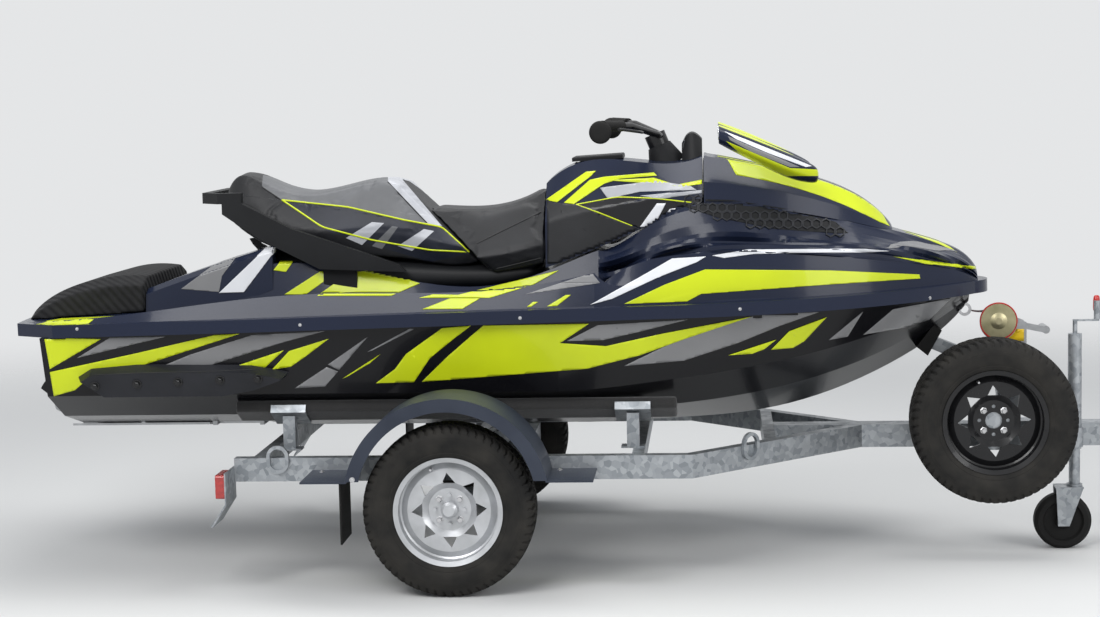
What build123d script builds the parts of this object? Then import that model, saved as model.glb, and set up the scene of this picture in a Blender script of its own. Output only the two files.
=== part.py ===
# Personal watercraft parked on its road trailer, millimetres.
# +X is forward, towards the bow and the coupling, +Y is port and +Z is up.
# The origin is on the floor under the middle of the whole length.
# Stations are measured forward from the trailer's axle, heights from the floor.
import os
from math import atan2, cos, pi, radians, sin, tan

from build123d import *

os.makedirs("parts", exist_ok=True)

# Place of the axle, behind the middle of the whole length from the reverse bucket to the coupling.
AXLE_X = -536.0

# Clearance between pieces that seat on each other, and between pieces that move past each other.
SEAT_GAP = 0.3
RUN_GAP = 6.0

# Hull: the aft body is a prism from the transom to the shoulder, and the bow is lofted.
TRANSOM = -1430.0
SHOULDER = 350.0
KEEL_Z = 456.0
STRAKE_Y = 330.0
STRAKE_Z = 545.0
CHINE_Y = 510.0
CHINE_Z = 642.0
SIDE_LEAN = 16.0
SHEER_Z = 888.0
SHEER_RISE = 1.16

# Bow sections of the hull: station, keel height, strake y and z, chine y and z, sheer y.
BOW_SECTIONS = [
    (600.0, 461.0, 322.0, 556.0, 500.0, 660.0, 590.0),
    (850.0, 474.0, 300.0, 575.0, 480.0, 690.0, 572.0),
    (1200.0, 530.0, 235.0, 635.0, 395.0, 745.0, 505.0),
    (1480.0, 642.0, 145.0, 725.0, 265.0, 810.0, 372.0),
    (1690.0, 775.0, 60.0, 830.0, 120.0, 868.0, 195.0),
    (1790.0, 880.0, 12.0, 895.0, 28.0, 908.0, 62.0),
]

# Plan outline of the deck flange at the sheer.
BEAM = 1220.0
STERN = -1565.0
STERN_CORNER_X = -1380.0
STERN_CORNER_Y = 470.0
BOW_START = 700.0
BOW_MID = (1350.0, 485.0)
BOW_NEAR = (1800.0, 115.0)
BOW_TIP = 1856.0
FLANGE_T = 44.0
RUB_T = 12.0
GUNWALE_FLARE = 26.0
TOE_SECTION = 6
DECK_H = 600.0

# Deck sections: station, crest y and z, outer foot y and z, inner foot y and z, pedestal y and z.
DECK_SECTIONS = [
    (-1520.0, 440.0, 893.0, 400.0, 897.0, 220.0, 900.0, 200.0, 906.0),
    (-1280.0, 530.0, 913.0, 470.0, 908.0, 245.0, 908.0, 225.0, 930.0),
    (-1060.0, 545.0, 935.0, 470.0, 912.0, 270.0, 912.0, 250.0, 990.0),
    (-670.0, 535.0, 978.0, 460.0, 918.0, 260.0, 918.0, 228.0, 1070.0),
    (-100.0, 522.0, 985.0, 450.0, 922.0, 255.0, 922.0, 215.0, 985.0),
    (300.0, 522.0, 1010.0, 450.0, 930.0, 270.0, 930.0, 225.0, 1030.0),
    (480.0, 530.0, 1045.0, 445.0, 975.0, 290.0, 975.0, 245.0, 1100.0),
    (660.0, 530.0, 1085.0, 430.0, 1060.0, 330.0, 1060.0, 270.0, 1185.0),
    (850.0, 512.0, 1110.0, 410.0, 1100.0, 360.0, 1100.0, 300.0, 1262.0),
    (1100.0, 466.0, 1125.0, 380.0, 1118.0, 335.0, 1118.0, 270.0, 1235.0),
    (1350.0, 380.0, 1118.0, 305.0, 1114.0, 265.0, 1116.0, 200.0, 1185.0),
    (1550.0, 262.0, 1098.0, 205.0, 1100.0, 175.0, 1104.0, 118.0, 1136.0),
    (1720.0, 140.0, 1050.0, 105.0, 1062.0, 85.0, 1068.0, 50.0, 1082.0),
    (1815.0, 45.0, 985.0, 32.0, 992.0, 24.0, 996.0, 12.0, 1002.0),
]

# Jet unit on the centre line under the stern.
PUMP_Z = 562.0
PUMP_R = 90.0
PUMP_BORE_R = 79.0
PUMP_FRONT = -1200.0
PUMP_REAR = -1420.0
TUNNEL_W = 232.0
TUNNEL_TOP = 664.0
TUNNEL_FRONT = -960.0
INTAKE_FRONT = -700.0
VENTURI_NECK = -1454.0
VENTURI_END = -1500.0
VENTURI_R = 48.0
NOZZLE_PIVOT = -1482.0
NOZZLE_LEAD = 8.0
NOZZLE_PIN_R = 6.0
NOZZLE_END = -1560.0
NOZZLE_R = 66.0
NOZZLE_WALL = 6.0
NOZZLE_END_R = 46.0
STATOR_FRONT = -1345.0
STATOR_R = 34.0
STATOR_VANES = 6
IMPELLER_FRONT = -1240.0
IMPELLER_REAR = -1335.0
IMPELLER_R = 73.0
IMPELLER_TWIST = 32.0
BUCKET_FROM = 92.0
BUCKET_SPAN = 62.0
RIDE_Z = 476.0
RIDE_T = 8.0
SPONSON_T = 46.0
SPONSON_TAPER = 14.0
SPONSON_OUTLINE = [
    (-1312.0, 712.0),
    (-1262.0, 742.0),
    (-1100.0, 755.0),
    (-700.0, 748.0),
    (-572.0, 722.0),
    (-590.0, 700.0),
    (-690.0, 664.0),
    (-800.0, 645.0),
    (-1220.0, 645.0),
]
BOW_EYE_X = 1776.0
BOW_EYE_Z = 850.0
EYE_R = 24.0
EYE_WIRE = 10.0
STERN_EYE_Y = 380.0
STERN_EYE_Z = 790.0
BUCKET_R = 112.0
BUCKET_T = 6.0
BUCKET_W = 212.0
EAR_Y = 88.0
EAR_T = 6.0
IMPELLER_BLADES = 4
SHAFT_R = 11.0

# Seats and grab handle.
SPLIT_TOP = (-236.0, 1352.0)
SPLIT_LOW = (20.0, 1105.0)
# Front seat sections: station, bottom z, bottom y, bulge y and z, top y and z.
SEAT_FRONT_SECTIONS = [
    (-330.0, 1000.0, 205.0, 250.0, 1080.0, 120.0, 1262.0),
    (-60.0, 1000.0, 225.0, 262.0, 1070.0, 130.0, 1252.0),
    (150.0, 1022.0, 232.0, 262.0, 1090.0, 125.0, 1262.0),
    (290.0, 1052.0, 226.0, 246.0, 1125.0, 110.0, 1325.0),
]
# Rear seat sections: station, bottom z, bottom y, bulge y and z, top y and z.
SEAT_REAR_SECTIONS = [
    (-880.0, 1225.0, 90.0, 120.0, 1275.0, 70.0, 1332.0),
    (-800.0, 1170.0, 140.0, 168.0, 1240.0, 105.0, 1388.0),
    (-690.0, 1120.0, 180.0, 205.0, 1200.0, 130.0, 1346.0),
    (-420.0, 1085.0, 205.0, 222.0, 1170.0, 150.0, 1340.0),
    (-236.0, 1075.0, 205.0, 224.0, 1165.0, 150.0, 1352.0),
    (60.0, 1060.0, 205.0, 226.0, 1110.0, 150.0, 1200.0),
]
HANDLE_SIDE_Y = 232.0
HANDLE_SIDE_T = 34.0
HANDLE_REAR = -935.0
HANDLE_BAR = 38.0
HANDLE_REAR_Z = 1286.0
HANDLE_ARM_END = -780.0
HANDLE_CORNER = 70.0
HANDLE_BASE_X = -440.0
HANDLE_BASE_L = 120.0
HANDLE_BASE_Z = 1076.0
HANDLE_PROFILE = [
    (-850.0, 1324.0),
    (-805.0, 1300.0),
    (-605.0, 1195.0),
    (-360.0, 1110.0),
    (-225.0, 1062.0),
    (-200.0, 1036.0),
    (-506.0, 1050.0),
    (-720.0, 1160.0),
    (-850.0, 1250.0),
]
TOW_HOOK_W = 24.0
TOW_HOOK_PROFILE = [
    (-760.0, 1080.0),
    (-800.0, 1125.0),
    (-812.0, 1146.0),
    (-770.0, 1150.0),
    (-772.0, 1128.0),
    (-720.0, 1100.0),
]

# Console, dash and steering.
# Console sections: station, base y and z, shoulder y and z, top y and z.
CONSOLE_SECTIONS = [
    (292.0, 224.0, 1040.0, 212.0, 1200.0, 105.0, 1338.0),
    (380.0, 230.0, 1070.0, 220.0, 1225.0, 118.0, 1398.0),
    (600.0, 252.0, 1160.0, 250.0, 1268.0, 142.0, 1412.0),
    (846.0, 292.0, 1262.0, 276.0, 1330.0, 172.0, 1425.0),
]
GLOVEBOX_X = (384.0, 566.0)
GLOVEBOX_W = 176.0
GLOVEBOX_FLOOR = 1290.0
GLOVEBOX_LEDGE = 10.0
LID_T = 16.0
LID_GAP = 6.0
LID_Z = 1386.0
LID_RISE = 3.0
# Dash sections: station, half width, low z, top z.
DASH_SECTIONS = [
    (775.0, 78.0, 1400.0, 1462.0),
    (810.0, 104.0, 1400.0, 1500.0),
    (846.0, 100.0, 1405.0, 1476.0),
]
NECK_H = 36.0
CLAMP_H = 44.0
GRIP_L = 130.0
COLUMN_X = 706.0
COLUMN_Z = 1424.0
COLUMN_LEAN = 22.0
COLUMN_R = 34.0
BAR_R = 12.0
GRIP_R = 19.0
# Handlebar route on the starboard side: x, y, z from the clamp out to the grip's end.
BAR_POINTS = [
    (700.0, 0.0, 1492.0),
    (690.0, -70.0, 1496.0),
    (600.0, -235.0, 1532.0),
    (510.0, -405.0, 1536.0),
]

# Hood sections: station, base y and z, shoulder y and z, top y and z.
HOOD_SECTIONS = [
    (852.0, 300.0, 1264.0, 284.0, 1335.0, 176.0, 1428.0),
    (1060.0, 276.0, 1240.0, 258.0, 1306.0, 162.0, 1384.0),
    (1290.0, 220.0, 1198.0, 202.0, 1248.0, 122.0, 1320.0),
    (1440.0, 164.0, 1162.0, 140.0, 1190.0, 84.0, 1240.0),
    (1512.0, 130.0, 1144.0, 104.0, 1152.0, 62.0, 1168.0),
]
HOOD_WALL = 14.0
HOOD_GAP = 1.0
# Mirror sections: station, middle y, half width, foot z, low z, top z.
MIRROR_SECTIONS = [
    (905.0, 330.0, 95.0, 1350.0, 1428.0, 1536.0),
    (1010.0, 320.0, 88.0, 1325.0, 1392.0, 1490.0),
    (1250.0, 250.0, 22.0, 1316.0, 1330.0, 1376.0),
]
BIN_X = (930.0, 1290.0)
BIN_W = 300.0
BIN_FLOOR = 1010.0
BIN_WALL = 5.0
BIN_DEPTH = 150.0

# Stern mat sections: station, half width, low z, top z.
STERN_MAT_SECTIONS = [
    (-1535.0, 385.0, 880.0, 918.0),
    (-1440.0, 420.0, 880.0, 985.0),
    (-1330.0, 400.0, 880.0, 1026.0),
    (-1130.0, 330.0, 880.0, 1036.0),
]
# Rear cover sections: station, half width, low z, top z.
REAR_COVER_SECTIONS = [
    (-1129.0, 300.0, 900.0, 990.0),
    (-1000.0, 285.0, 900.0, 1034.0),
    (-680.0, 250.0, 980.0, 1132.0),
]

# Trailer frame.
RAIL_H = 80.0
RAIL_W = 40.0
RAIL_TOP = 440.0
RAIL_Y = 613.0
RAIL_REAR = -752.0
RAIL_BEND = 795.0
RAIL_TURN = 44.5
DRAWBAR = 82.0
DRAWBAR_REAR = 1090.0
DRAWBAR_FRONT = 2400.0
DRAWBAR_TOP = 441.0
CROSS_X = (-690.0, 600.0)
CROSS_H = 60.0
CROSS_W = 40.0
TUBE_WALL = 4.0

# Axle and road wheels.
TYRE_R = 287.5
TYRE_W = 175.0
TYRE_IN_Y = 660.0
RIM_R = 182.0
RIM_W = 138.0
BOLT_CIRCLE_R = 49.0
HUB_HOLE_R = 29.0
RIM_HOLES = 8
AXLE_TUBE = 80.0
AXLE_TUBE_X = 150.0
AXLE_TUBE_Z = RAIL_TOP - RAIL_H - AXLE_TUBE / 2 - SEAT_GAP
SPINDLE_R = 16.0
AXLE_HALF = 600.0
ARM_T = 30.0
HUB_IN = -68.0
HUB_Y = 740.0
SPINDLE_REACH = 10.0
HUB_FLANGE_R = 62.0
VENT_R = 108.0
VENT_A = 46.0
VENT_B = 40.0

# Fenders.
FENDER_R = 340.0
FENDER_Z = 330.0
FENDER_T = 6.0
FENDER_IN_Y = 633.3
FENDER_OUT_Y = 860.0
FENDER_LIP = 44.0
STEP_L = 150.0
STEP_Z = 398.0
FLAP_BACK = 18.0
FLAP_W = 180.0
FLAP_H = 208.0
FLAP_T = 6.0

# Bunks on their posts.
BUNK_L = 1530.0
BUNK_REAR = -778.0
BUNK_W = 104.0
BUNK_T = 46.0
BUNK_MID_Y = 420.0
POST_X = (-590.0, 600.0)
POST_Y = 462.0
POST_W = 42.0
POST_H = 120.0
BRACKET_L = 122.0
BRACKET_T = 6.0
BRACKET_LIP = 22.0

# Light brackets, lamps and tie-down loops.
LAMP_Y = 690.0
LAMP_PLATE_W = 150.0
LAMP_PLATE_T = 5.0
LAMP_Z = 362.0
LAMP_W = 120.0
LAMP_H = 80.0
LAMP_T = 34.0
LAMP_PLATE_TOP = 412.0
LAMP_PLATE_LOW = 306.0
FLAP_SWEEP = 55.0
FLAP_DROP = 76.0
LOOP_X = (-600.0, 1000.0)
LOOP_Z = 436.0
LOOP_H = 96.0
LOOP_W = 76.0
LOOP_WIRE = 12.0

# Winch post, winch and bow stop.
WINCH_X = 1930.0
WINCH_POST_W = 60.0
WINCH_Z = 724.0
DRUM_R = 66.0
DRUM_Z = 806.0
DRUM_X = 1890.0
DRUM_W = 64.0
STOP_W = 110.0
STOP_PROFILE = [
    (1600.0, 722.0),
    (1660.0, 800.0),
    (1690.0, 780.0),
    (1640.0, 690.0),
]

# Spare wheel beside the drawbar.
SPARE_X = 1845.0
SPARE_Z = 487.0
SPARE_IN_Y = -155.0

# Jockey wheel jack, clamped on the starboard side of the drawbar.
JACK_X = 2150.0
JACK_Y = -92.0
JACK_TOP = 768.0
JACK_LOW = 358.0
JACK_R = 24.0
JACK_BORE_R = 20.5
JACK_INNER_R = 19.5
JACK_INNER_LOW = 232.0
JACK_INNER_L = 330.0
JOCKEY_R = 100.0
JOCKEY_W = 54.0
JOCKEY_TRAIL = 42.0

# Coupling head.
COUPLING_L = 260.0
BALL_R = 25.0

# The flange and the split between hull and deck lie in one plane that rises to the bow.
SHEER = Plane(
    origin=(AXLE_X + SHOULDER, 0, SHEER_Z),
    x_dir=(cos(radians(SHEER_RISE)), 0, sin(radians(SHEER_RISE))),
    z_dir=(-sin(radians(SHEER_RISE)), 0, cos(radians(SHEER_RISE))),
)

# Seat of the glovebox lid, tilted with the console's top.
LID_PLANE = Plane(
    origin=(AXLE_X, 0, LID_Z),
    x_dir=(cos(radians(LID_RISE)), 0, sin(radians(LID_RISE))),
    z_dir=(-sin(radians(LID_RISE)), 0, cos(radians(LID_RISE))),
)

pieces = []


def keep(label, part):
    """Label a finished piece and put it on the list of files to write."""
    part.label = label
    pieces.append(part)


def across(station):
    """Plane across the craft at a station, its own x to port and its own y up."""
    return Plane(origin=(AXLE_X + station, 0, 0), x_dir=(0, 1, 0), z_dir=(1, 0, 0))


def along(y):
    """Plane along the craft at a distance to port, its own x forward and its own y up."""
    return Plane(origin=(AXLE_X, y, 0), x_dir=(1, 0, 0), z_dir=(0, -1, 0))


def level(z):
    """Level plane at a height, its own x forward from the axle and its own y to port."""
    return Plane(origin=(AXLE_X, 0, z))


def mirrored_outline(half):
    """Closed outline from points of the port half, listed from the centre out and round."""
    other = [(-y, z) for y, z in reversed(half) if y > 0]
    return half + other


def draw_closed(points):
    """Draw a closed face through points inside a sketch."""
    with BuildLine() as outline:
        Polyline(*points, close=True)
    make_face(outline.edges())


def seat_outline(bottom_z, bottom_y, bulge_y, bulge_z, top_y, top_z):
    """Half outline of a cushion: flat bottom, bulged side and a crowned top."""
    crown = 6.0
    return [(0.0, bottom_z), (bottom_y, bottom_z), (bulge_y, bulge_z), (top_y, top_z - crown), (0.0, top_z)]


# Hull
side_slope = tan(radians(SIDE_LEAN))
hull_top_z = SHEER_Z + 60.0
with BuildPart() as hull:
    aft_half = [
        (0.0, KEEL_Z),
        (STRAKE_Y, STRAKE_Z),
        (CHINE_Y, CHINE_Z),
        (CHINE_Y + (hull_top_z - CHINE_Z) * side_slope, hull_top_z),
        (0.0, hull_top_z),
    ]
    with BuildSketch(across(TRANSOM)):
        draw_closed(mirrored_outline(aft_half))
    extrude(amount=SHOULDER - TRANSOM)
    with BuildSketch(across(SHOULDER)):
        draw_closed(mirrored_outline(aft_half))
    for station, keel_z, strake_y, strake_z, chine_y, chine_z, sheer_y in BOW_SECTIONS:
        lean = (sheer_y - chine_y) / (SHEER_Z + (station - SHOULDER) * tan(radians(SHEER_RISE)) - chine_z)
        half = [
            (0.0, keel_z),
            (strake_y, strake_z),
            (chine_y, chine_z),
            (chine_y + (hull_top_z - chine_z) * lean, hull_top_z),
            (0.0, hull_top_z),
        ]
        with BuildSketch(across(station)):
            draw_closed(mirrored_outline(half))
    loft()
    split(bisect_by=SHEER, keep=Keep.BOTTOM)
    # Tunnel for the jet unit, with the intake sloping down to the keel.
    with BuildSketch(along(-TUNNEL_W / 2)):
        draw_closed([
            (TRANSOM - 5, KEEL_Z - 60),
            (INTAKE_FRONT, KEEL_Z - 60),
            (INTAKE_FRONT, KEEL_Z + 4),
            (TUNNEL_FRONT, TUNNEL_TOP - 50),
            (TUNNEL_FRONT - 60, TUNNEL_TOP),
            (TRANSOM - 5, TUNNEL_TOP),
        ])
    extrude(amount=-TUNNEL_W, mode=Mode.SUBTRACT)
keep("hull", hull.part)


def sheer_outline(inset):
    """Plan outline of the deck flange, drawn in the sheer plane and inset all round."""
    half_beam = BEAM / 2 - inset
    bow_near = (BOW_NEAR[0] - inset * 0.7, BOW_NEAR[1] - inset * 0.7)
    bow_mid = (BOW_MID[0] - inset * 0.4, BOW_MID[1] - inset * 0.9)
    corner = (STERN_CORNER_X, half_beam - 28)
    stern_corner = (STERN + 26 + inset, STERN_CORNER_Y - inset)
    with BuildLine() as outline:
        for side in (1, -1):
            Line((BOW_START - SHOULDER, side * half_beam), (-700 - SHOULDER, side * half_beam))
            Line((-700 - SHOULDER, side * half_beam), (corner[0] - SHOULDER, side * corner[1]))
            Line((corner[0] - SHOULDER, side * corner[1]), (stern_corner[0] - SHOULDER, side * stern_corner[1]))
            ThreePointArc(
                (BOW_START - SHOULDER, side * half_beam),
                (bow_mid[0] - SHOULDER, side * bow_mid[1]),
                (bow_near[0] - SHOULDER, side * bow_near[1]),
            )
        ThreePointArc(
            (bow_near[0] - SHOULDER, bow_near[1]),
            (BOW_TIP - inset - SHOULDER, 0),
            (bow_near[0] - SHOULDER, -bow_near[1]),
        )
        ThreePointArc(
            (stern_corner[0] - SHOULDER, stern_corner[1]),
            (STERN + inset - SHOULDER, 0),
            (stern_corner[0] - SHOULDER, -stern_corner[1]),
        )
    make_face(outline.edges())


# Deck: a flange all round, and the lofted upper body with its footwells and pedestal
def deck_outline(station, crest_y, crest_z, out_y, out_z, in_y, in_z, ped_y, ped_z):
    """Closed section of the upper deck at a station, its foot sunk into the flange."""
    low_z = SHEER_Z + (station - SHOULDER) * tan(radians(SHEER_RISE)) + 8.0
    flange_z = low_z + FLANGE_T - 14.0
    half = [
        (0.0, low_z),
        (crest_y + GUNWALE_FLARE, low_z),
        (crest_y + GUNWALE_FLARE, flange_z),
        (crest_y, max(crest_z, flange_z + 4.0)),
        (out_y, max(out_z, flange_z + 4.0)),
        (in_y, max(in_z, flange_z + 4.0)),
        (ped_y, max(ped_z, flange_z + 8.0)),
        (0.0, max(ped_z, flange_z + 8.0) + 2.0),
    ]
    return mirrored_outline(half)


with BuildPart() as deck:
    for sections in (DECK_SECTIONS[:TOE_SECTION + 1], DECK_SECTIONS[TOE_SECTION:]):
        for section in sections:
            with BuildSketch(across(section[0])):
                draw_closed(deck_outline(*section))
        loft()
    split(bisect_by=SHEER, keep=Keep.TOP)
    with BuildSketch(SHEER):
        sheer_outline(RUB_T + 2)
    extrude(amount=DECK_H, mode=Mode.INTERSECT)
    with BuildSketch(SHEER):
        sheer_outline(RUB_T)
    extrude(amount=FLANGE_T)
    # Opening for the bow storage bin under the hood
    with BuildSketch(level(BIN_FLOOR)):
        with Locations(((BIN_X[0] + BIN_X[1]) / 2, 0)):
            Rectangle(BIN_X[1] - BIN_X[0], BIN_W)
    extrude(amount=400, mode=Mode.SUBTRACT)
keep("deck", deck.part)

# Rub rail round the flange
with BuildPart() as rub_rail:
    with BuildSketch(SHEER):
        sheer_outline(0)
    extrude(amount=FLANGE_T)
    with BuildSketch(SHEER):
        sheer_outline(RUB_T - SEAT_GAP)
    extrude(amount=FLANGE_T, mode=Mode.SUBTRACT)
keep("rub_rail", rub_rail.part)

# Storage bin in the bow, open at the top under the hood
with BuildPart() as front_bin:
    bin_l = BIN_X[1] - BIN_X[0] - 2 * SEAT_GAP
    bin_w = BIN_W - 2 * SEAT_GAP
    with BuildSketch(level(BIN_FLOOR + SEAT_GAP)):
        with Locations(((BIN_X[0] + BIN_X[1]) / 2, 0)):
            Rectangle(bin_l, bin_w)
    extrude(amount=BIN_DEPTH)
    with BuildSketch(level(BIN_FLOOR + BIN_WALL)):
        with Locations(((BIN_X[0] + BIN_X[1]) / 2, 0)):
            Rectangle(bin_l - 2 * BIN_WALL, bin_w - 2 * BIN_WALL)
    extrude(amount=BIN_DEPTH, mode=Mode.SUBTRACT)
keep("front_bin", front_bin.part)

# Stern mat on the boarding platform, and the two footwell mats
with BuildPart() as stern_mat:
    for station, half_w, low_z, top_z in STERN_MAT_SECTIONS:
        half = [(0.0, low_z), (half_w, low_z), (half_w - 14, top_z - 30), (half_w - 90, top_z), (0.0, top_z + 2)]
        with BuildSketch(across(station)):
            draw_closed(mirrored_outline(half))
    loft()
    add(deck.part.moved(Location((0, 0, SEAT_GAP))), mode=Mode.SUBTRACT)
keep("stern_mat", stern_mat.part.solids().sort_by(SortBy.VOLUME)[-1])

# Pedestal cover behind the seat, with the tow hook on it
with BuildPart() as rear_cover:
    for station, half_w, low_z, top_z in REAR_COVER_SECTIONS:
        half = [(0.0, low_z), (half_w, low_z), (half_w - 12, top_z - 18), (half_w - 44, top_z), (0.0, top_z + 3)]
        with BuildSketch(across(station)):
            draw_closed(mirrored_outline(half))
    loft()
    add(deck.part.moved(Location((0, 0, SEAT_GAP))), mode=Mode.SUBTRACT)
    add(stern_mat.part.moved(Location((SEAT_GAP, 0, 0))), mode=Mode.SUBTRACT)
keep("rear_cover", rear_cover.part.solids().sort_by(SortBy.VOLUME)[-1])

# Seats, divided by one plane that leans back over the front seat
split_dx = SPLIT_LOW[0] - SPLIT_TOP[0]
split_dz = SPLIT_LOW[1] - SPLIT_TOP[1]
SEAT_SPLIT = Plane(
    origin=(AXLE_X + SPLIT_TOP[0], 0, SPLIT_TOP[1]),
    x_dir=(split_dx, 0, split_dz),
    z_dir=(-split_dz, 0, split_dx),
)
with BuildPart() as seat_rear:
    for section in SEAT_REAR_SECTIONS:
        with BuildSketch(across(section[0])):
            draw_closed(mirrored_outline(seat_outline(*section[1:])))
    loft()
    split(bisect_by=SEAT_SPLIT, keep=Keep.BOTTOM)
    add(deck.part.moved(Location((0, 0, SEAT_GAP))), mode=Mode.SUBTRACT)
    add(rear_cover.part.moved(Location((0, 0, SEAT_GAP))), mode=Mode.SUBTRACT)
keep("seat_rear", seat_rear.part.solids().sort_by(SortBy.VOLUME)[-1])

with BuildPart() as seat_front:
    for section in SEAT_FRONT_SECTIONS:
        with BuildSketch(across(section[0])):
            draw_closed(mirrored_outline(seat_outline(*section[1:])))
    loft()
    split(bisect_by=SEAT_SPLIT.offset(SEAT_GAP), keep=Keep.TOP)
    add(deck.part.moved(Location((0, 0, SEAT_GAP))), mode=Mode.SUBTRACT)
keep("seat_front", seat_front.part.solids().sort_by(SortBy.VOLUME)[-1])

# Grab handle: two moulded side arms joined behind the seat
with BuildPart() as grab_handle:
    for side in (1, -1):
        inner_y = side * (HANDLE_SIDE_Y if side > 0 else HANDLE_SIDE_Y + HANDLE_SIDE_T)
        with BuildSketch(along(inner_y)):
            draw_closed(HANDLE_PROFILE)
        extrude(amount=-HANDLE_SIDE_T)
    with BuildSketch(level(HANDLE_REAR_Z)):
        with BuildLine() as handle_plan:
            outer = HANDLE_SIDE_Y + HANDLE_SIDE_T
            Polyline(
                (HANDLE_ARM_END, outer),
                (HANDLE_REAR + HANDLE_CORNER, outer),
                (HANDLE_REAR, outer - HANDLE_CORNER),
                (HANDLE_REAR, HANDLE_CORNER - outer),
                (HANDLE_REAR + HANDLE_CORNER, -outer),
                (HANDLE_ARM_END, -outer),
                (HANDLE_ARM_END, -HANDLE_SIDE_Y),
                (HANDLE_REAR + HANDLE_CORNER, -HANDLE_SIDE_Y),
                (HANDLE_REAR + HANDLE_BAR, HANDLE_CORNER - outer),
                (HANDLE_REAR + HANDLE_BAR, outer - HANDLE_CORNER),
                (HANDLE_REAR + HANDLE_CORNER, HANDLE_SIDE_Y),
                (HANDLE_ARM_END, HANDLE_SIDE_Y),
                close=True,
            )
        make_face(handle_plan.edges())
    extrude(amount=HANDLE_BAR)
    # Base across the pedestal, under the seat
    with BuildSketch(level(HANDLE_BASE_Z)):
        with Locations((HANDLE_BASE_X, 0)):
            Rectangle(HANDLE_BASE_L, 2 * HANDLE_SIDE_Y)
    extrude(amount=-120)
    add(deck.part.moved(Location((0, 0, SEAT_GAP))), mode=Mode.SUBTRACT)
    add(seat_front.part.moved(Location((-SEAT_GAP, 0, 0))), mode=Mode.SUBTRACT)
keep("grab_handle", grab_handle.part.solids().sort_by(SortBy.VOLUME)[-1])

# Tow hook on the pedestal cover
with BuildPart() as tow_hook:
    with BuildSketch(along(-TOW_HOOK_W / 2)):
        draw_closed(TOW_HOOK_PROFILE)
    extrude(amount=-TOW_HOOK_W)
    add(rear_cover.part.moved(Location((0, 0, SEAT_GAP))), mode=Mode.SUBTRACT)
keep("tow_hook", tow_hook.part.solids().sort_by(SortBy.VOLUME)[-1])


def cowl_outline(base_y, base_z, shoulder_y, shoulder_z, top_y, top_z):
    """Section of the console and hood: base, shoulder and a slightly crowned top."""
    crown = 6.0
    half = [(0.0, base_z), (base_y, base_z), (shoulder_y, shoulder_z), (top_y, top_z - crown), (0.0, top_z)]
    return mirrored_outline(half)


# Console between seat and hood, with the glovebox under its lid
with BuildPart() as console:
    for section in CONSOLE_SECTIONS:
        with BuildSketch(across(section[0])):
            draw_closed(cowl_outline(*section[1:]))
    loft()
    add(deck.part.moved(Location((0, 0, SEAT_GAP))), mode=Mode.SUBTRACT)
    with BuildSketch(level(GLOVEBOX_FLOOR)):
        with Locations(((GLOVEBOX_X[0] + GLOVEBOX_X[1]) / 2, 0)):
            Rectangle(GLOVEBOX_X[1] - GLOVEBOX_X[0] - 2 * GLOVEBOX_LEDGE, GLOVEBOX_W - 2 * GLOVEBOX_LEDGE)
    extrude(amount=300, mode=Mode.SUBTRACT)
    with BuildSketch(LID_PLANE):
        with Locations(((GLOVEBOX_X[0] + GLOVEBOX_X[1]) / 2, 0)):
            Rectangle(GLOVEBOX_X[1] - GLOVEBOX_X[0] + 2 * LID_GAP, GLOVEBOX_W + 2 * LID_GAP)
    extrude(amount=100, mode=Mode.SUBTRACT)
keep("console", console.part.solids().sort_by(SortBy.VOLUME)[-1])

with BuildPart() as glovebox_lid:
    with BuildSketch(LID_PLANE.offset(SEAT_GAP)):
        with Locations(((GLOVEBOX_X[0] + GLOVEBOX_X[1]) / 2, 0)):
            Rectangle(GLOVEBOX_X[1] - GLOVEBOX_X[0], GLOVEBOX_W)
    extrude(amount=LID_T)
    fillet(glovebox_lid.faces().sort_by(Axis.Z)[-1].edges(), LID_T * 0.4)
keep("glovebox_lid", glovebox_lid.part)

# Dash pod with its hooded gauge, in front of the handlebar
with BuildPart() as dash:
    for station, half_w, low_z, top_z in DASH_SECTIONS:
        half = [(0.0, low_z), (half_w, low_z), (half_w * 0.72, top_z), (0.0, top_z + 4)]
        with BuildSketch(across(station)):
            draw_closed(mirrored_outline(half))
    loft()
    add(console.part.moved(Location((0, 0, SEAT_GAP))), mode=Mode.SUBTRACT)
keep("dash", dash.part.solids().sort_by(SortBy.VOLUME)[-1])

# Hood: a hollow cover that tips forward over the bow
with BuildPart() as hood:
    for base_drop in (0.0, HOOD_WALL):
        for station, base_y, base_z, shoulder_y, shoulder_z, top_y, top_z in HOOD_SECTIONS:
            outline = cowl_outline(
                base_y - base_drop,
                base_z - base_drop * 2,
                shoulder_y - base_drop,
                max(shoulder_z - base_drop, base_z - base_drop),
                top_y - base_drop * 0.6,
                max(top_z - base_drop, base_z - base_drop * 0.5),
            )
            with BuildSketch(across(station)):
                draw_closed(outline)
        loft(mode=Mode.SUBTRACT if base_drop else Mode.ADD)
    with BuildSketch(across(HOOD_SECTIONS[0][0])):
        draw_closed(cowl_outline(*HOOD_SECTIONS[0][1:]))
    extrude(amount=HOOD_WALL * 0.6)
    with BuildSketch(across(HOOD_SECTIONS[0][0])):
        draw_closed([(-180, 1200), (180, 1200), (150, 1300), (-150, 1300)])
    extrude(amount=HOOD_WALL, mode=Mode.SUBTRACT)
    add(deck.part.moved(Location((0, 0, HOOD_GAP))), mode=Mode.SUBTRACT)
keep("hood", hood.part.solids().sort_by(SortBy.VOLUME)[-1])

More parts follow.
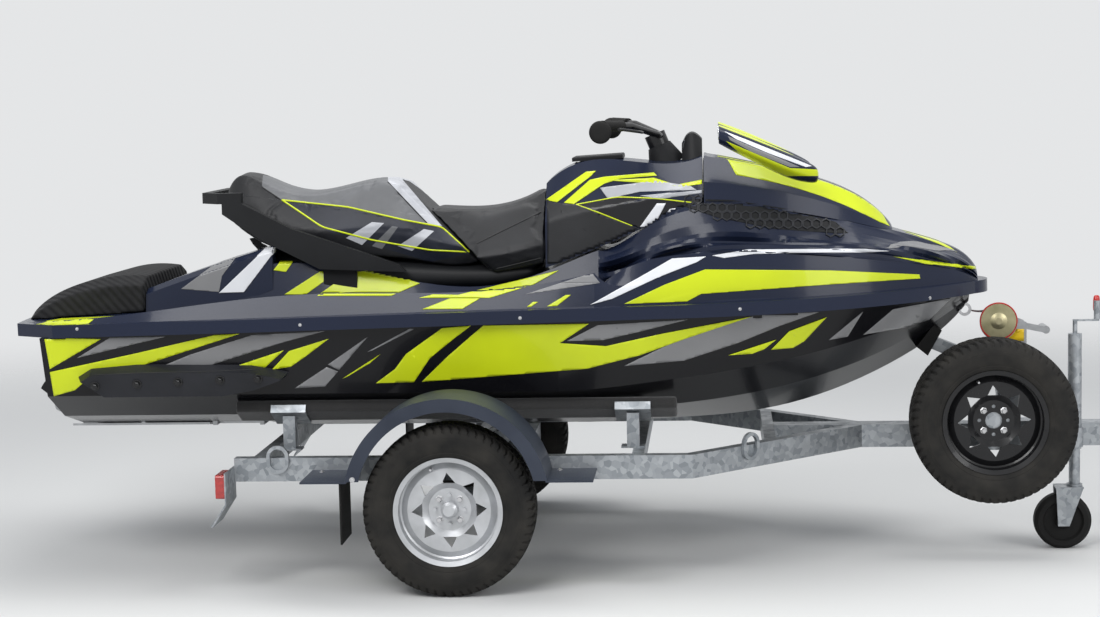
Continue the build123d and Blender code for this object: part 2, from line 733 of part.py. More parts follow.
# Mirrors on the hood's shoulders
with BuildPart() as mirrors:
    for side in (1, -1):
        for station, mid_y, half_w, foot_z, low_z, top_z in MIRROR_SECTIONS:
            with BuildSketch(across(station)):
                draw_closed([
                    (side * (mid_y - half_w), foot_z),
                    (side * (mid_y - half_w * 0.5), low_z),
                    (side * (mid_y + half_w), low_z + (top_z - low_z) * 0.35),
                    (side * (mid_y + half_w * 0.8), top_z),
                    (side * (mid_y - half_w * 0.9), top_z - (top_z - low_z) * 0.2),
                ])
        loft()
    add(hood.part.moved(Location((0, 0, SEAT_GAP))), mode=Mode.SUBTRACT)
keep("mirrors", Compound(children=mirrors.part.solids().sort_by(SortBy.VOLUME)[-2:]))

# Sponsons bolted to the hull's sides
with BuildPart() as sponsons:
    for side in (1, -1):
        lean = radians(SIDE_LEAN)
        side_plane = Plane(
            origin=(AXLE_X, side * (CHINE_Y + SEAT_GAP), CHINE_Z),
            x_dir=(1, 0, 0),
            z_dir=(0, side * cos(lean), -sin(lean)),
        )
        with BuildSketch(side_plane):
            draw_closed([(x, side * (CHINE_Z - z) / cos(lean)) for x, z in SPONSON_OUTLINE])
        extrude(amount=SPONSON_T, taper=SPONSON_TAPER)
keep("sponsons", sponsons.part)

# Bow eye under the stem, and the tie-down eyes on the transom
with BuildPart() as bow_eye:
    with BuildSketch(along(-5)):
        with Locations((BOW_EYE_X, BOW_EYE_Z)):
            Circle(EYE_R)
            Circle(EYE_R - EYE_WIRE, mode=Mode.SUBTRACT)
    extrude(amount=-10)
    add(hull.part.moved(Location((SEAT_GAP, 0, -SEAT_GAP))), mode=Mode.SUBTRACT)
keep("bow_eye", bow_eye.part.solids().sort_by(SortBy.VOLUME)[-1])

with BuildPart() as stern_eyes:
    for side in (1, -1):
        with BuildSketch(along(side * STERN_EYE_Y - EYE_WIRE / 2)):
            with Locations((TRANSOM - EYE_R, STERN_EYE_Z)):
                Circle(EYE_R)
                Circle(EYE_R - EYE_WIRE, mode=Mode.SUBTRACT)
        extrude(amount=-EYE_WIRE)
        with BuildSketch(across(TRANSOM - SEAT_GAP)):
            with Locations((side * STERN_EYE_Y, STERN_EYE_Z)):
                Rectangle(36, 60)
        extrude(amount=-6)
keep("stern_eyes", stern_eyes.part)

# Ride plate under the jet unit, and the intake grate ahead of it
with BuildPart() as ride_plate:
    with BuildSketch(across(TRANSOM - 40)):
        draw_closed([
            (-TUNNEL_W / 2 + SEAT_GAP, RIDE_Z),
            (0, RIDE_Z - 18),
            (TUNNEL_W / 2 - SEAT_GAP, RIDE_Z),
            (TUNNEL_W / 2 - SEAT_GAP, RIDE_Z + RIDE_T),
            (0, RIDE_Z + RIDE_T - 18),
            (-TUNNEL_W / 2 + SEAT_GAP, RIDE_Z + RIDE_T),
        ])
    extrude(amount=TUNNEL_FRONT - TRANSOM + 40)
keep("ride_plate", ride_plate.part)

with BuildPart() as intake_grate:
    for end in (TUNNEL_FRONT + 12, INTAKE_FRONT - 74):
        with BuildSketch(across(end)):
            with Locations((0, RIDE_Z + 4)):
                Rectangle(TUNNEL_W - 2 * SEAT_GAP, 14)
        extrude(amount=16)
    bars = 5
    for i in range(bars):
        bar_y = (i - (bars - 1) / 2) * TUNNEL_W / (bars + 1)
        with BuildSketch(along(bar_y - 4)):
            with Locations(((TUNNEL_FRONT + INTAKE_FRONT - 46) / 2, RIDE_Z + 4)):
                Rectangle(INTAKE_FRONT - TUNNEL_FRONT - 70, 12)
        extrude(amount=-8)
keep("intake_grate", intake_grate.part)


def pump_ring(profile):
    """Ring about the pump's axis, from a profile of station and radius."""
    with BuildSketch(Plane(origin=(AXLE_X, 0, PUMP_Z), x_dir=(1, 0, 0), z_dir=(0, -1, 0))) as ring:
        draw_closed(profile)
    revolve(ring.sketch, axis=Axis((AXLE_X, 0, PUMP_Z), (1, 0, 0)), revolution_arc=360)


# Jet pump: housing with its flange, stator vanes and hub, and the venturi behind
with BuildPart() as jet_pump:
    pump_ring([
        (PUMP_FRONT, PUMP_BORE_R),
        (PUMP_FRONT, PUMP_R),
        (PUMP_REAR, PUMP_R),
        (VENTURI_NECK, VENTURI_R),
        (VENTURI_END, VENTURI_R),
        (VENTURI_END, VENTURI_R - 6),
        (VENTURI_NECK, VENTURI_R - 6),
        (PUMP_REAR + 4, PUMP_BORE_R),
    ])
    with BuildSketch(across(PUMP_FRONT)):
        with Locations((0, (TUNNEL_TOP + RIDE_Z + RIDE_T) / 2)):
            Rectangle(TUNNEL_W - 2 * SEAT_GAP, TUNNEL_TOP - RIDE_Z - RIDE_T - 2 * SEAT_GAP)
        with Locations((0, PUMP_Z)):
            Circle(PUMP_BORE_R, mode=Mode.SUBTRACT)
    extrude(amount=-14)
    pump_ring([
        (STATOR_FRONT, SHAFT_R + SEAT_GAP),
        (STATOR_FRONT, STATOR_R),
        (PUMP_REAR, STATOR_R),
        (PUMP_REAR - 40, 10),
        (PUMP_REAR - 40, 0),
        (PUMP_REAR - 10, 0),
        (PUMP_REAR - 10, SHAFT_R + SEAT_GAP),
    ])
    for i in range(STATOR_VANES):
        vane_plane = Plane(
            origin=(AXLE_X + STATOR_FRONT, 0, PUMP_Z),
            x_dir=(0, cos(2 * pi * i / STATOR_VANES), sin(2 * pi * i / STATOR_VANES)),
            z_dir=(-1, 0, 0),
        )
        with BuildSketch(vane_plane):
            with Locations(((STATOR_R + PUMP_BORE_R) / 2, 0)):
                Rectangle(PUMP_BORE_R - STATOR_R + 4, 4)
        extrude(amount=STATOR_FRONT - PUMP_REAR)
    # Ears that carry the reverse bucket
    for start_y in (EAR_Y, -EAR_Y - EAR_T):
        with BuildSketch(along(start_y)):
            draw_closed([
                (PUMP_REAR + 40, PUMP_Z + 20),
                (PUMP_REAR + 40, PUMP_Z - 20),
                (NOZZLE_PIVOT - 14, PUMP_Z - 14),
                (NOZZLE_PIVOT - 14, PUMP_Z + 14),
            ])
        extrude(amount=-EAR_T)
keep("jet_pump", jet_pump.part)

# Impeller on its shaft
with BuildPart() as impeller:
    with BuildSketch(across(TUNNEL_FRONT - 60 - SEAT_GAP)):
        with Locations((0, PUMP_Z)):
            Circle(SHAFT_R)
    extrude(amount=PUMP_REAR + 60 + 10 - TUNNEL_FRONT)
    pump_ring([(IMPELLER_FRONT, 0), (IMPELLER_FRONT, 22), (IMPELLER_REAR, 36), (IMPELLER_REAR, 0)])
    for i in range(IMPELLER_BLADES):
        for end, twist in ((IMPELLER_FRONT - 4, -IMPELLER_TWIST), (IMPELLER_REAR + 4, IMPELLER_TWIST)):
            angle = 2 * pi * i / IMPELLER_BLADES + radians(twist)
            blade_plane = Plane(
                origin=(AXLE_X + end, 0, PUMP_Z),
                x_dir=(0, cos(angle), sin(angle)),
                z_dir=(-1, 0, 0),
            )
            with BuildSketch(blade_plane):
                with Locations(((16 + IMPELLER_R) / 2, 0)):
                    Rectangle(IMPELLER_R - 16, 5)
        loft()
keep("impeller", impeller.part)

# Steering nozzle that swings on two upright pins on the venturi
with BuildPart() as steering_nozzle:
    pump_ring([
        (NOZZLE_PIVOT + NOZZLE_LEAD, NOZZLE_R - NOZZLE_WALL),
        (NOZZLE_PIVOT + NOZZLE_LEAD, NOZZLE_R),
        (VENTURI_END - 12, NOZZLE_R),
        (NOZZLE_END, NOZZLE_END_R),
        (NOZZLE_END, NOZZLE_END_R - NOZZLE_WALL),
        (VENTURI_END - 12, NOZZLE_R - NOZZLE_WALL),
    ])
    # Upright pivot pins that reach the venturi
    for pin_z in (PUMP_Z + VENTURI_R + SEAT_GAP, PUMP_Z - NOZZLE_R - 4):
        with BuildSketch(level(pin_z)):
            with Locations((NOZZLE_PIVOT, 0)):
                Circle(NOZZLE_PIN_R)
        extrude(amount=NOZZLE_R + 4 - VENTURI_R - SEAT_GAP)
keep("steering_nozzle", steering_nozzle.part)

# Reverse bucket: a curved shell between two side arms, stowed above the jet
with BuildPart() as reverse_bucket:
    with BuildSketch(along(-BUCKET_W / 2)):
        with BuildLine() as bucket_line:
            CenterArc((NOZZLE_PIVOT, PUMP_Z), BUCKET_R, BUCKET_FROM, BUCKET_SPAN)
            CenterArc((NOZZLE_PIVOT, PUMP_Z), BUCKET_R + BUCKET_T, BUCKET_FROM, BUCKET_SPAN)
            for end in (BUCKET_FROM, BUCKET_FROM + BUCKET_SPAN):
                Line(
                    (NOZZLE_PIVOT + BUCKET_R * cos(radians(end)), PUMP_Z + BUCKET_R * sin(radians(end))),
                    (
                        NOZZLE_PIVOT + (BUCKET_R + BUCKET_T) * cos(radians(end)),
                        PUMP_Z + (BUCKET_R + BUCKET_T) * sin(radians(end)),
                    ),
                )
        make_face(bucket_line.edges())
    extrude(amount=-BUCKET_W)
    for side in (1, -1):
        start_y = side * BUCKET_W / 2 if side < 0 else BUCKET_W / 2 - BUCKET_T
        with BuildSketch(along(start_y)):
            with BuildLine() as arm_line:
                first, last = radians(BUCKET_FROM), radians(BUCKET_FROM + BUCKET_SPAN)
                reach = BUCKET_R + BUCKET_T
                pivot = Vector(NOZZLE_PIVOT, PUMP_Z)
                start = pivot + Vector(cos(first), sin(first)) * reach
                end = pivot + Vector(cos(last), sin(last)) * reach
                CenterArc(pivot, reach, BUCKET_FROM, BUCKET_SPAN)
                Polyline(end, pivot + Vector(-18, -18), pivot + Vector(18, -18), start)
            make_face(arm_line.edges())
        extrude(amount=-BUCKET_T)
    for start_y in (EAR_Y + EAR_T + SEAT_GAP, -BUCKET_W / 2 + BUCKET_T):
        with BuildSketch(along(start_y)):
            with Locations((NOZZLE_PIVOT, PUMP_Z)):
                Circle(9)
        extrude(amount=-(BUCKET_W / 2 - BUCKET_T - EAR_Y - EAR_T - SEAT_GAP))
keep("reverse_bucket", reverse_bucket.part)

# Steering neck on the console, and the handlebar that turns on it
STEER = Plane(
    origin=(AXLE_X + COLUMN_X, 0, COLUMN_Z),
    x_dir=(cos(radians(COLUMN_LEAN)), 0, sin(radians(COLUMN_LEAN))),
    z_dir=(-sin(radians(COLUMN_LEAN)), 0, cos(radians(COLUMN_LEAN))),
)
with BuildPart() as steering_neck:
    with BuildSketch(STEER.offset(-40)):
        Ellipse(70, 56)
    with BuildSketch(STEER.offset(NECK_H)):
        Circle(COLUMN_R + 8)
    loft()
    add(console.part.moved(Location((0, 0, SEAT_GAP))), mode=Mode.SUBTRACT)
    add(dash.part.moved(Location((-SEAT_GAP, 0, 0))), mode=Mode.SUBTRACT)
keep("steering_neck", steering_neck.part.solids().sort_by(SortBy.VOLUME)[-1])

with BuildPart() as handlebar:
    with BuildSketch(STEER.offset(NECK_H + SEAT_GAP)):
        Circle(COLUMN_R + 4)
    extrude(amount=CLAMP_H)
    for side in (1, -1):
        points = [(AXLE_X + x, side * y, z) for x, y, z in BAR_POINTS]
        with BuildLine() as bar_path:
            FilletPolyline(*points, radius=40)
        with BuildSketch(Plane(origin=points[0], z_dir=bar_path.line % 0)):
            Circle(BAR_R)
        sweep(path=bar_path.line)
keep("handlebar", handlebar.part)

with BuildPart() as grips:
    for side in (1, -1):
        root = Vector(AXLE_X + BAR_POINTS[-2][0], side * BAR_POINTS[-2][1], BAR_POINTS[-2][2])
        tip = Vector(AXLE_X + BAR_POINTS[-1][0], side * BAR_POINTS[-1][1], BAR_POINTS[-1][2])
        way = (tip - root).normalized()
        with BuildSketch(Plane(origin=tip - way * GRIP_L, z_dir=way)):
            Circle(GRIP_R)
            Circle(BAR_R + SEAT_GAP, mode=Mode.SUBTRACT)
        extrude(amount=GRIP_L)
keep("grips", grips.part)

# Trailer side rails: straight beside the craft, then angled in to the drawbar
rail_out = RAIL_Y + RAIL_W / 2
rail_in = RAIL_Y - RAIL_W / 2
rail_slope = tan(radians(RAIL_TURN))
mitre = RAIL_W / 2 * tan(radians(RAIL_TURN / 2))
bar_side = DRAWBAR / 2 + SEAT_GAP
with BuildPart() as rails:
    for side in (1, -1):
        with BuildSketch(level(RAIL_TOP - RAIL_H)):
            draw_closed([
                (RAIL_REAR, side * rail_out),
                (RAIL_BEND + mitre, side * rail_out),
                (RAIL_BEND + mitre + (rail_out - bar_side) / rail_slope, side * bar_side),
                (RAIL_BEND - mitre + (rail_in - bar_side) / rail_slope, side * bar_side),
                (RAIL_BEND - mitre, side * rail_in),
                (RAIL_REAR, side * rail_in),
            ])
        extrude(amount=RAIL_H)
keep("rails", rails.part)

# Drawbar: a square tube
with BuildPart() as drawbar:
    with BuildSketch(across(DRAWBAR_REAR)):
        with Locations((0, DRAWBAR_TOP - DRAWBAR / 2)):
            Rectangle(DRAWBAR, DRAWBAR)
            Rectangle(DRAWBAR - 2 * TUBE_WALL, DRAWBAR - 2 * TUBE_WALL, mode=Mode.SUBTRACT)
    extrude(amount=DRAWBAR_FRONT - DRAWBAR_REAR)
keep("drawbar", drawbar.part)

# Cross members between the rails, and the one behind the drawbar
with BuildPart() as cross_members:
    for station in CROSS_X:
        with BuildSketch(across(station)):
            with Locations((0, RAIL_TOP - CROSS_H / 2)):
                Rectangle(2 * (rail_in - SEAT_GAP), CROSS_H)
        extrude(amount=CROSS_W)
    v_rear = DRAWBAR_REAR - CROSS_W - SEAT_GAP
    v_half = rail_in - (v_rear - RAIL_BEND + mitre) * rail_slope - SEAT_GAP / cos(radians(RAIL_TURN))
    with BuildSketch(level(RAIL_TOP - RAIL_H)):
        draw_closed([
            (v_rear, v_half),
            (v_rear + CROSS_W, v_half - CROSS_W * rail_slope),
            (v_rear + CROSS_W, CROSS_W * rail_slope - v_half),
            (v_rear, -v_half),
        ])
    extrude(amount=RAIL_H)
keep("cross_members", cross_members.part)

# Torsion axle: square tube under the rails, trailing arms and spindles
with BuildPart() as axle:
    with BuildSketch(along(-AXLE_HALF)):
        with Locations((AXLE_TUBE_X, AXLE_TUBE_Z)):
            Rectangle(AXLE_TUBE, AXLE_TUBE)
    extrude(amount=-2 * AXLE_HALF)
    for side in (1, -1):
        with BuildSketch(along(AXLE_HALF if side > 0 else -AXLE_HALF - ARM_T)):
            with BuildLine() as arm_outline:
                Polyline(
                    (AXLE_TUBE_X, AXLE_TUBE_Z + 34),
                    (0, TYRE_R + 32),
                    (-30, TYRE_R),
                    (0, TYRE_R - 32),
                    (AXLE_TUBE_X, AXLE_TUBE_Z - 34),
                    (AXLE_TUBE_X + 34, AXLE_TUBE_Z),
                    close=True,
                )
            make_face(arm_outline.edges())
        extrude(amount=-ARM_T)
        start_y = side * (AXLE_HALF + ARM_T)
        with BuildSketch(Plane(origin=(AXLE_X, start_y, TYRE_R), z_dir=(0, side, 0))):
            Circle(SPINDLE_R)
        extrude(amount=HUB_Y + SPINDLE_REACH - AXLE_HALF - ARM_T)
keep("axle", axle.part)


def wheel_ring(centre, profile):
    """Ring about a wheel's axle, from a profile of offset along the axle and radius."""
    x, y, z = centre
    with BuildSketch(Plane(origin=(x, y, z), x_dir=(0, 1, 0), z_dir=(1, 0, 0))) as ring:
        draw_closed(profile)
    revolve(ring.sketch, axis=Axis((x, y, z), (0, 1, 0)), revolution_arc=360)


def tyre(centre):
    """Road tyre: sidewalls, shoulders and a tread that is nearly flat."""
    half_w = TYRE_W / 2
    bead = [
        (RIM_W / 2 - 11, RIM_R - 13 + SEAT_GAP),
        (RIM_W / 2 - 3, RIM_R + 1),
        (RIM_W / 2 + 6, RIM_R + 3),
        (half_w - 4, RIM_R + 28),
        (half_w, RIM_R + 50),
        (half_w - 8, TYRE_R - 22),
        (half_w - 24, TYRE_R - 5),
    ]
    crown = [(0, TYRE_R)]
    wheel_ring(centre, [(-offset, radius) for offset, radius in bead] + crown + bead[::-1])


def rim(centre, out):
    """Pressed steel rim with its vent holes and bolt holes, its outer face towards out."""
    x, y, z = centre
    half_w = RIM_W / 2
    bed_r = RIM_R - 13
    wheel_ring(centre, [
        (-half_w, RIM_R - 16),
        (-half_w - 6, RIM_R),
        (-half_w - 2, RIM_R),
        (-half_w + 6, bed_r),
        (-half_w + 40, bed_r),
        (-half_w + 52, bed_r - 18),
        (half_w - 52, bed_r - 18),
        (half_w - 40, bed_r),
        (half_w - 6, bed_r),
        (half_w + 2, RIM_R),
        (half_w + 6, RIM_R),
        (half_w, RIM_R - 16),
        (half_w - 8, bed_r - 4),
        (half_w - 38, bed_r - 4),
        (half_w - 50, bed_r - 22),
        (-half_w + 50, bed_r - 22),
        (-half_w + 38, bed_r - 4),
        (-half_w + 8, bed_r - 4),
    ])
    # Disc that dishes inwards from the bed to the bolt face
    disc = [
        (half_w - 44, bed_r - 6),
        (half_w - 30, bed_r - 30),
        (half_w - 34, bed_r - 76),
        (half_w - 52, BOLT_CIRCLE_R + 22),
        (half_w - 52, HUB_HOLE_R),
        (half_w - 58, HUB_HOLE_R),
        (half_w - 58, BOLT_CIRCLE_R + 24),
        (half_w - 40, bed_r - 74),
        (half_w - 37, bed_r - 32),
        (half_w - 52, bed_r - 22),
    ]
    wheel_ring(centre, [(out * offset, radius) for offset, radius in disc])
    hole_plane = Plane(origin=(x, y, z), x_dir=(1, 0, 0), z_dir=(0, out, 0))
    with BuildSketch(hole_plane) as holes:
        with PolarLocations(VENT_R, RIM_HOLES):
            Triangle(a=VENT_A, b=VENT_A, c=VENT_B, rotation=-90, align=(Align.CENTER, Align.CENTER))
        with PolarLocations(BOLT_CIRCLE_R, 4):
            Circle(6.5)
    extrude(holes.sketch, amount=half_w, mode=Mode.SUBTRACT)


WHEEL_Y = TYRE_IN_Y + TYRE_W / 2
for side, side_name in ((-1, "starboard"), (1, "port")):
    wheel_centre = (AXLE_X, side * WHEEL_Y, TYRE_R)
    with BuildPart() as wheel_tyre:
        tyre(wheel_centre)
    keep("tyre_" + side_name, wheel_tyre.part)
    with BuildPart() as wheel_rim:
        rim(wheel_centre, side)
        # Hub and its dust cap, which turn with the rim
        face = RIM_W / 2 - 52
        hub_profile = [
            (face - 6 - SEAT_GAP, SPINDLE_R + SEAT_GAP),
            (face - 6 - SEAT_GAP, HUB_FLANGE_R),
            (face - 20, HUB_FLANGE_R),
            (face - 24, 38),
            (HUB_IN, 38),
            (HUB_IN, SPINDLE_R + SEAT_GAP),
        ]
        wheel_ring(wheel_centre, [(side * offset, radius) for offset, radius in hub_profile])
        cap_profile = [
            (face - 6 - SEAT_GAP, SPINDLE_R + RUN_GAP),
            (face - 6, HUB_HOLE_R + 0.5),
            (face + 26, HUB_HOLE_R - 1),
            (face + 34, HUB_HOLE_R - 10),
            (face + 34, 0),
            (face + 28, 0),
            (face + 28, SPINDLE_R + RUN_GAP),
        ]
        wheel_ring(wheel_centre, [(side * offset, radius) for offset, radius in cap_profile])
        with BuildSketch(Plane(origin=wheel_centre, z_dir=(0, side, 0)).offset(face - 6)):
            with PolarLocations(BOLT_CIRCLE_R, 4):
                Circle(6.5)
        extrude(amount=20)
    keep("rim_" + side_name, wheel_rim.part)

# Fenders: an arch over each wheel with a lip outside and a step at each end
with BuildPart() as fenders:
    half_l = (FENDER_R ** 2 - (STEP_Z - FENDER_Z) ** 2) ** 0.5
    for side in (1, -1):
        low_y, high_y = sorted((side * FENDER_IN_Y, side * FENDER_OUT_Y))
        with BuildSketch(along(low_y)):
            with BuildLine() as arch:
                outer_pts = [(-half_l, STEP_Z), (0, FENDER_Z + FENDER_R), (half_l, STEP_Z)]
                inner_half = ((FENDER_R - FENDER_T) ** 2 - (STEP_Z - FENDER_T - FENDER_Z) ** 2) ** 0.5
                inner_pts = [
                    (inner_half, STEP_Z - FENDER_T),
                    (0, FENDER_Z + FENDER_R - FENDER_T),
                    (-inner_half, STEP_Z - FENDER_T),
                ]
                ThreePointArc(*outer_pts)
                ThreePointArc(*inner_pts)
                Polyline((half_l, STEP_Z), (half_l + STEP_L, STEP_Z), (half_l + STEP_L, STEP_Z - FENDER_T),
                         inner_pts[0])
                Polyline((-half_l, STEP_Z), (-half_l - STEP_L, STEP_Z), (-half_l - STEP_L, STEP_Z - FENDER_T),
                         inner_pts[2])
            make_face(arch.edges())
        extrude(amount=-(FENDER_OUT_Y - FENDER_IN_Y))
        lip_y = FENDER_OUT_Y - FENDER_T if side > 0 else -FENDER_OUT_Y
        with BuildSketch(along(lip_y)):
            with Locations((0, FENDER_Z)):
                Circle(FENDER_R)
                Circle(FENDER_R - FENDER_LIP, mode=Mode.SUBTRACT)
            with Locations((0, STEP_Z - FENDER_R)):
                Rectangle(3 * FENDER_R, 2 * FENDER_R, mode=Mode.SUBTRACT)
        extrude(amount=-FENDER_T)
keep("fenders", fenders.part)

# Mudflaps hung behind the wheels
with BuildPart() as mudflaps:
    for side in (1, -1):
        with BuildSketch(across(-half_l - FLAP_BACK)):
            with Locations((side * (FENDER_IN_Y + FENDER_OUT_Y) / 2, STEP_Z - FENDER_T - SEAT_GAP)):
                Rectangle(FLAP_W, FLAP_H, align=(Align.CENTER, Align.MAX))
        extrude(amount=-FLAP_T)
keep("mudflaps", mudflaps.part)

# Carpeted bunks, tilted to lie against the bottom of the hull
bunk_tilt = atan2(CHINE_Z - STRAKE_Z, CHINE_Y - STRAKE_Y)


def bunk_plane(side):
    """Plane under the hull's outer panel, its own x up the slope and its own z out of the hull."""
    mid_z = STRAKE_Z + (BUNK_MID_Y - STRAKE_Y) * tan(bunk_tilt)
    normal = (0, side * sin(bunk_tilt), -cos(bunk_tilt))
    origin = (AXLE_X, side * (BUNK_MID_Y + SEAT_GAP * sin(bunk_tilt)), mid_z - SEAT_GAP * cos(bunk_tilt))
    return Plane(origin=origin, x_dir=(1, 0, 0), z_dir=normal)


with BuildPart() as bunks:
    for side in (1, -1):
        with BuildSketch(bunk_plane(side)):
            with Locations((BUNK_REAR + BUNK_L / 2, 0)):
                Rectangle(BUNK_L, BUNK_W)
        extrude(amount=BUNK_T)
    fillet(bunks.edges().filter_by(Axis.X), 8)
keep("bunks", bunks.part)

# Posts that carry the bunks: a bracket under the beam, a clevis and a square post
with BuildPart() as bunk_posts:
    for station in POST_X:
        for side in (1, -1):
            under = bunk_plane(side).offset(BUNK_T + SEAT_GAP)
            lip_y = BUNK_W / 2 + SEAT_GAP + BRACKET_T / 2
            foot = Plane(origin=(AXLE_X + station, side * POST_Y, RAIL_TOP + SEAT_GAP))
            with BuildSketch(foot):
                Rectangle(POST_W, POST_W)
            extrude(amount=POST_H)
            with BuildSketch(under):
                with Locations((station, 0)):
                    Rectangle(2 * BRACKET_L, 2 * BUNK_W)
            extrude(amount=-POST_H, mode=Mode.SUBTRACT)
            with BuildSketch(foot):
                Rectangle(POST_W + 40, CROSS_W + 16)
            extrude(amount=BRACKET_T)
            with BuildSketch(under):
                with Locations((station, 0)):
                    Rectangle(BRACKET_L, BUNK_W + 2 * (BRACKET_T + SEAT_GAP))
            extrude(amount=BRACKET_T)
            with BuildSketch(under):
                with Locations((station, lip_y), (station, -lip_y)):
                    Rectangle(BRACKET_L, BRACKET_T)
            extrude(amount=-BRACKET_LIP)
keep("bunk_posts", bunk_posts.part)

# Light brackets at the rails' ends, with the lamps
with BuildPart() as light_brackets:
    for side in (1, -1):
        with BuildSketch(along(side * LAMP_Y - LAMP_PLATE_W / 2)):
            back_x = RAIL_REAR - SEAT_GAP
            draw_closed([
                (back_x - LAMP_PLATE_T, LAMP_PLATE_TOP),
                (back_x - LAMP_PLATE_T, LAMP_PLATE_LOW),
                (back_x - FLAP_SWEEP, LAMP_PLATE_LOW - FLAP_DROP),
                (back_x - FLAP_SWEEP + LAMP_PLATE_T, LAMP_PLATE_LOW - FLAP_DROP - 3),
                (back_x, LAMP_PLATE_LOW - 2),
                (back_x, LAMP_PLATE_TOP),
            ])
        extrude(amount=-LAMP_PLATE_W)
keep("light_brackets", light_brackets.part)

with BuildPart() as tail_lamps:
    for side in (1, -1):
        with BuildSketch(across(RAIL_REAR - LAMP_PLATE_T - 2 * SEAT_GAP)):
            with Locations((side * LAMP_Y, LAMP_Z)):
                RectangleRounded(LAMP_W, LAMP_H, 8)
        extrude(amount=-LAMP_T)
keep("tail_lamps", tail_lamps.part)

# Tie-down loops on the rails
with BuildPart() as tie_loops:
    for station in LOOP_X:
        for side in (1, -1):
            turn = radians(RAIL_TURN) if station > RAIL_BEND else 0.0
            bend_in = max(0.0, station - RAIL_BEND - mitre) * tan(turn)
            loop_y = side * (rail_out - bend_in + (SEAT_GAP + LOOP_WIRE / 2) / cos(turn))
            loop_plane = Plane(
                origin=(AXLE_X + station, loop_y, LOOP_Z),
                x_dir=(cos(turn), -side * sin(turn), 0),
                z_dir=(-side * sin(turn), -cos(turn), 0),
            )
            with BuildSketch(loop_plane):
                SlotOverall(LOOP_H, LOOP_W, rotation=90)
                SlotOverall(LOOP_H - 2 * LOOP_WIRE, LOOP_W - 2 * LOOP_WIRE, rotation=90, mode=Mode.SUBTRACT)
            extrude(amount=LOOP_WIRE / 2, both=True)
keep("tie_loops", tie_loops.part)

# Winch post with the arm to the bow stop
with BuildPart() as winch_post:
    post_foot = DRAWBAR_TOP + SEAT_GAP
    # Run and rise of the pad's back edge, which the arm's end meets
    stop_back = (STOP_PROFILE[2][0] - STOP_PROFILE[3][0], STOP_PROFILE[2][1] - STOP_PROFILE[3][1])
    with BuildSketch(along(-WINCH_POST_W / 2)):
        draw_closed([
            (WINCH_X - 30, post_foot),
            (WINCH_X + 40, post_foot),
            (WINCH_X + 50, WINCH_Z),
            (WINCH_X - 60, WINCH_Z),
        ])
        draw_closed([
            (WINCH_X - 20, 600),
            (WINCH_X - 30, 660),
            (STOP_PROFILE[2][0] - 0.33 * stop_back[0] + SEAT_GAP * 2, STOP_PROFILE[2][1] - 0.33 * stop_back[1]),
            (STOP_PROFILE[2][0] - 0.75 * stop_back[0] + SEAT_GAP * 2, STOP_PROFILE[2][1] - 0.75 * stop_back[1]),
        ])
    extrude(amount=-WINCH_POST_W)
    with BuildSketch(level(post_foot)):
        with Locations((WINCH_X + 5, 0)):
            Rectangle(150, DRAWBAR)
    extrude(amount=8)
keep("winch_post", winch_post.part)

with BuildPart() as bow_stop:
    with BuildSketch(along(-STOP_W / 2)):
        draw_closed(STOP_PROFILE)
    extrude(amount=-STOP_W)
    add(hull.part.moved(Location((SEAT_GAP, 0, -SEAT_GAP))), mode=Mode.SUBTRACT)
keep("bow_stop", bow_stop.part)

# Winch: cheeks, drum and crank
with BuildPart() as winch:
    for y in (-DRUM_W / 2 - 5, DRUM_W / 2):
        with BuildSketch(along(y)):
            draw_closed([
                (WINCH_X - 70, WINCH_Z + SEAT_GAP),
                (WINCH_X + 60, WINCH_Z + SEAT_GAP),
                (WINCH_X + 60, WINCH_Z + 80),
                (WINCH_X + 20, WINCH_Z + 96),
                (WINCH_X - 40, WINCH_Z + 104),
                (WINCH_X - 70, WINCH_Z + 70),
            ])
        extrude(amount=-5)
    with BuildSketch(level(WINCH_Z + SEAT_GAP)):
        with Locations((WINCH_X - 5, 0)):
            Rectangle(130, DRUM_W)
    extrude(amount=5)
    with BuildSketch(along(-DRUM_W / 2 - 16)):
        with Locations((DRUM_X, DRUM_Z)):
            Circle(DRUM_R)
    extrude(amount=-6)
    with BuildSketch(along(-DRUM_W / 2 - 12)):
        with Locations((DRUM_X, DRUM_Z)):
            Circle(14)
    extrude(amount=-DRUM_W - 20)
    with BuildSketch(along(-DRUM_W / 2)):
        with Locations((DRUM_X, DRUM_Z)):
            Circle(36)
    extrude(amount=-DRUM_W)
    with BuildSketch(along(DRUM_W / 2 + 5)):
        with Locations((DRUM_X + 90, DRUM_Z - 20)):
            Rectangle(200, 22, rotation=-12)
    extrude(amount=-8)
    with BuildSketch(along(DRUM_W / 2 + 5)):
        with Locations((DRUM_X + 180, DRUM_Z - 39)):
            Circle(14)
    extrude(amount=-100)
keep("winch", winch.part)

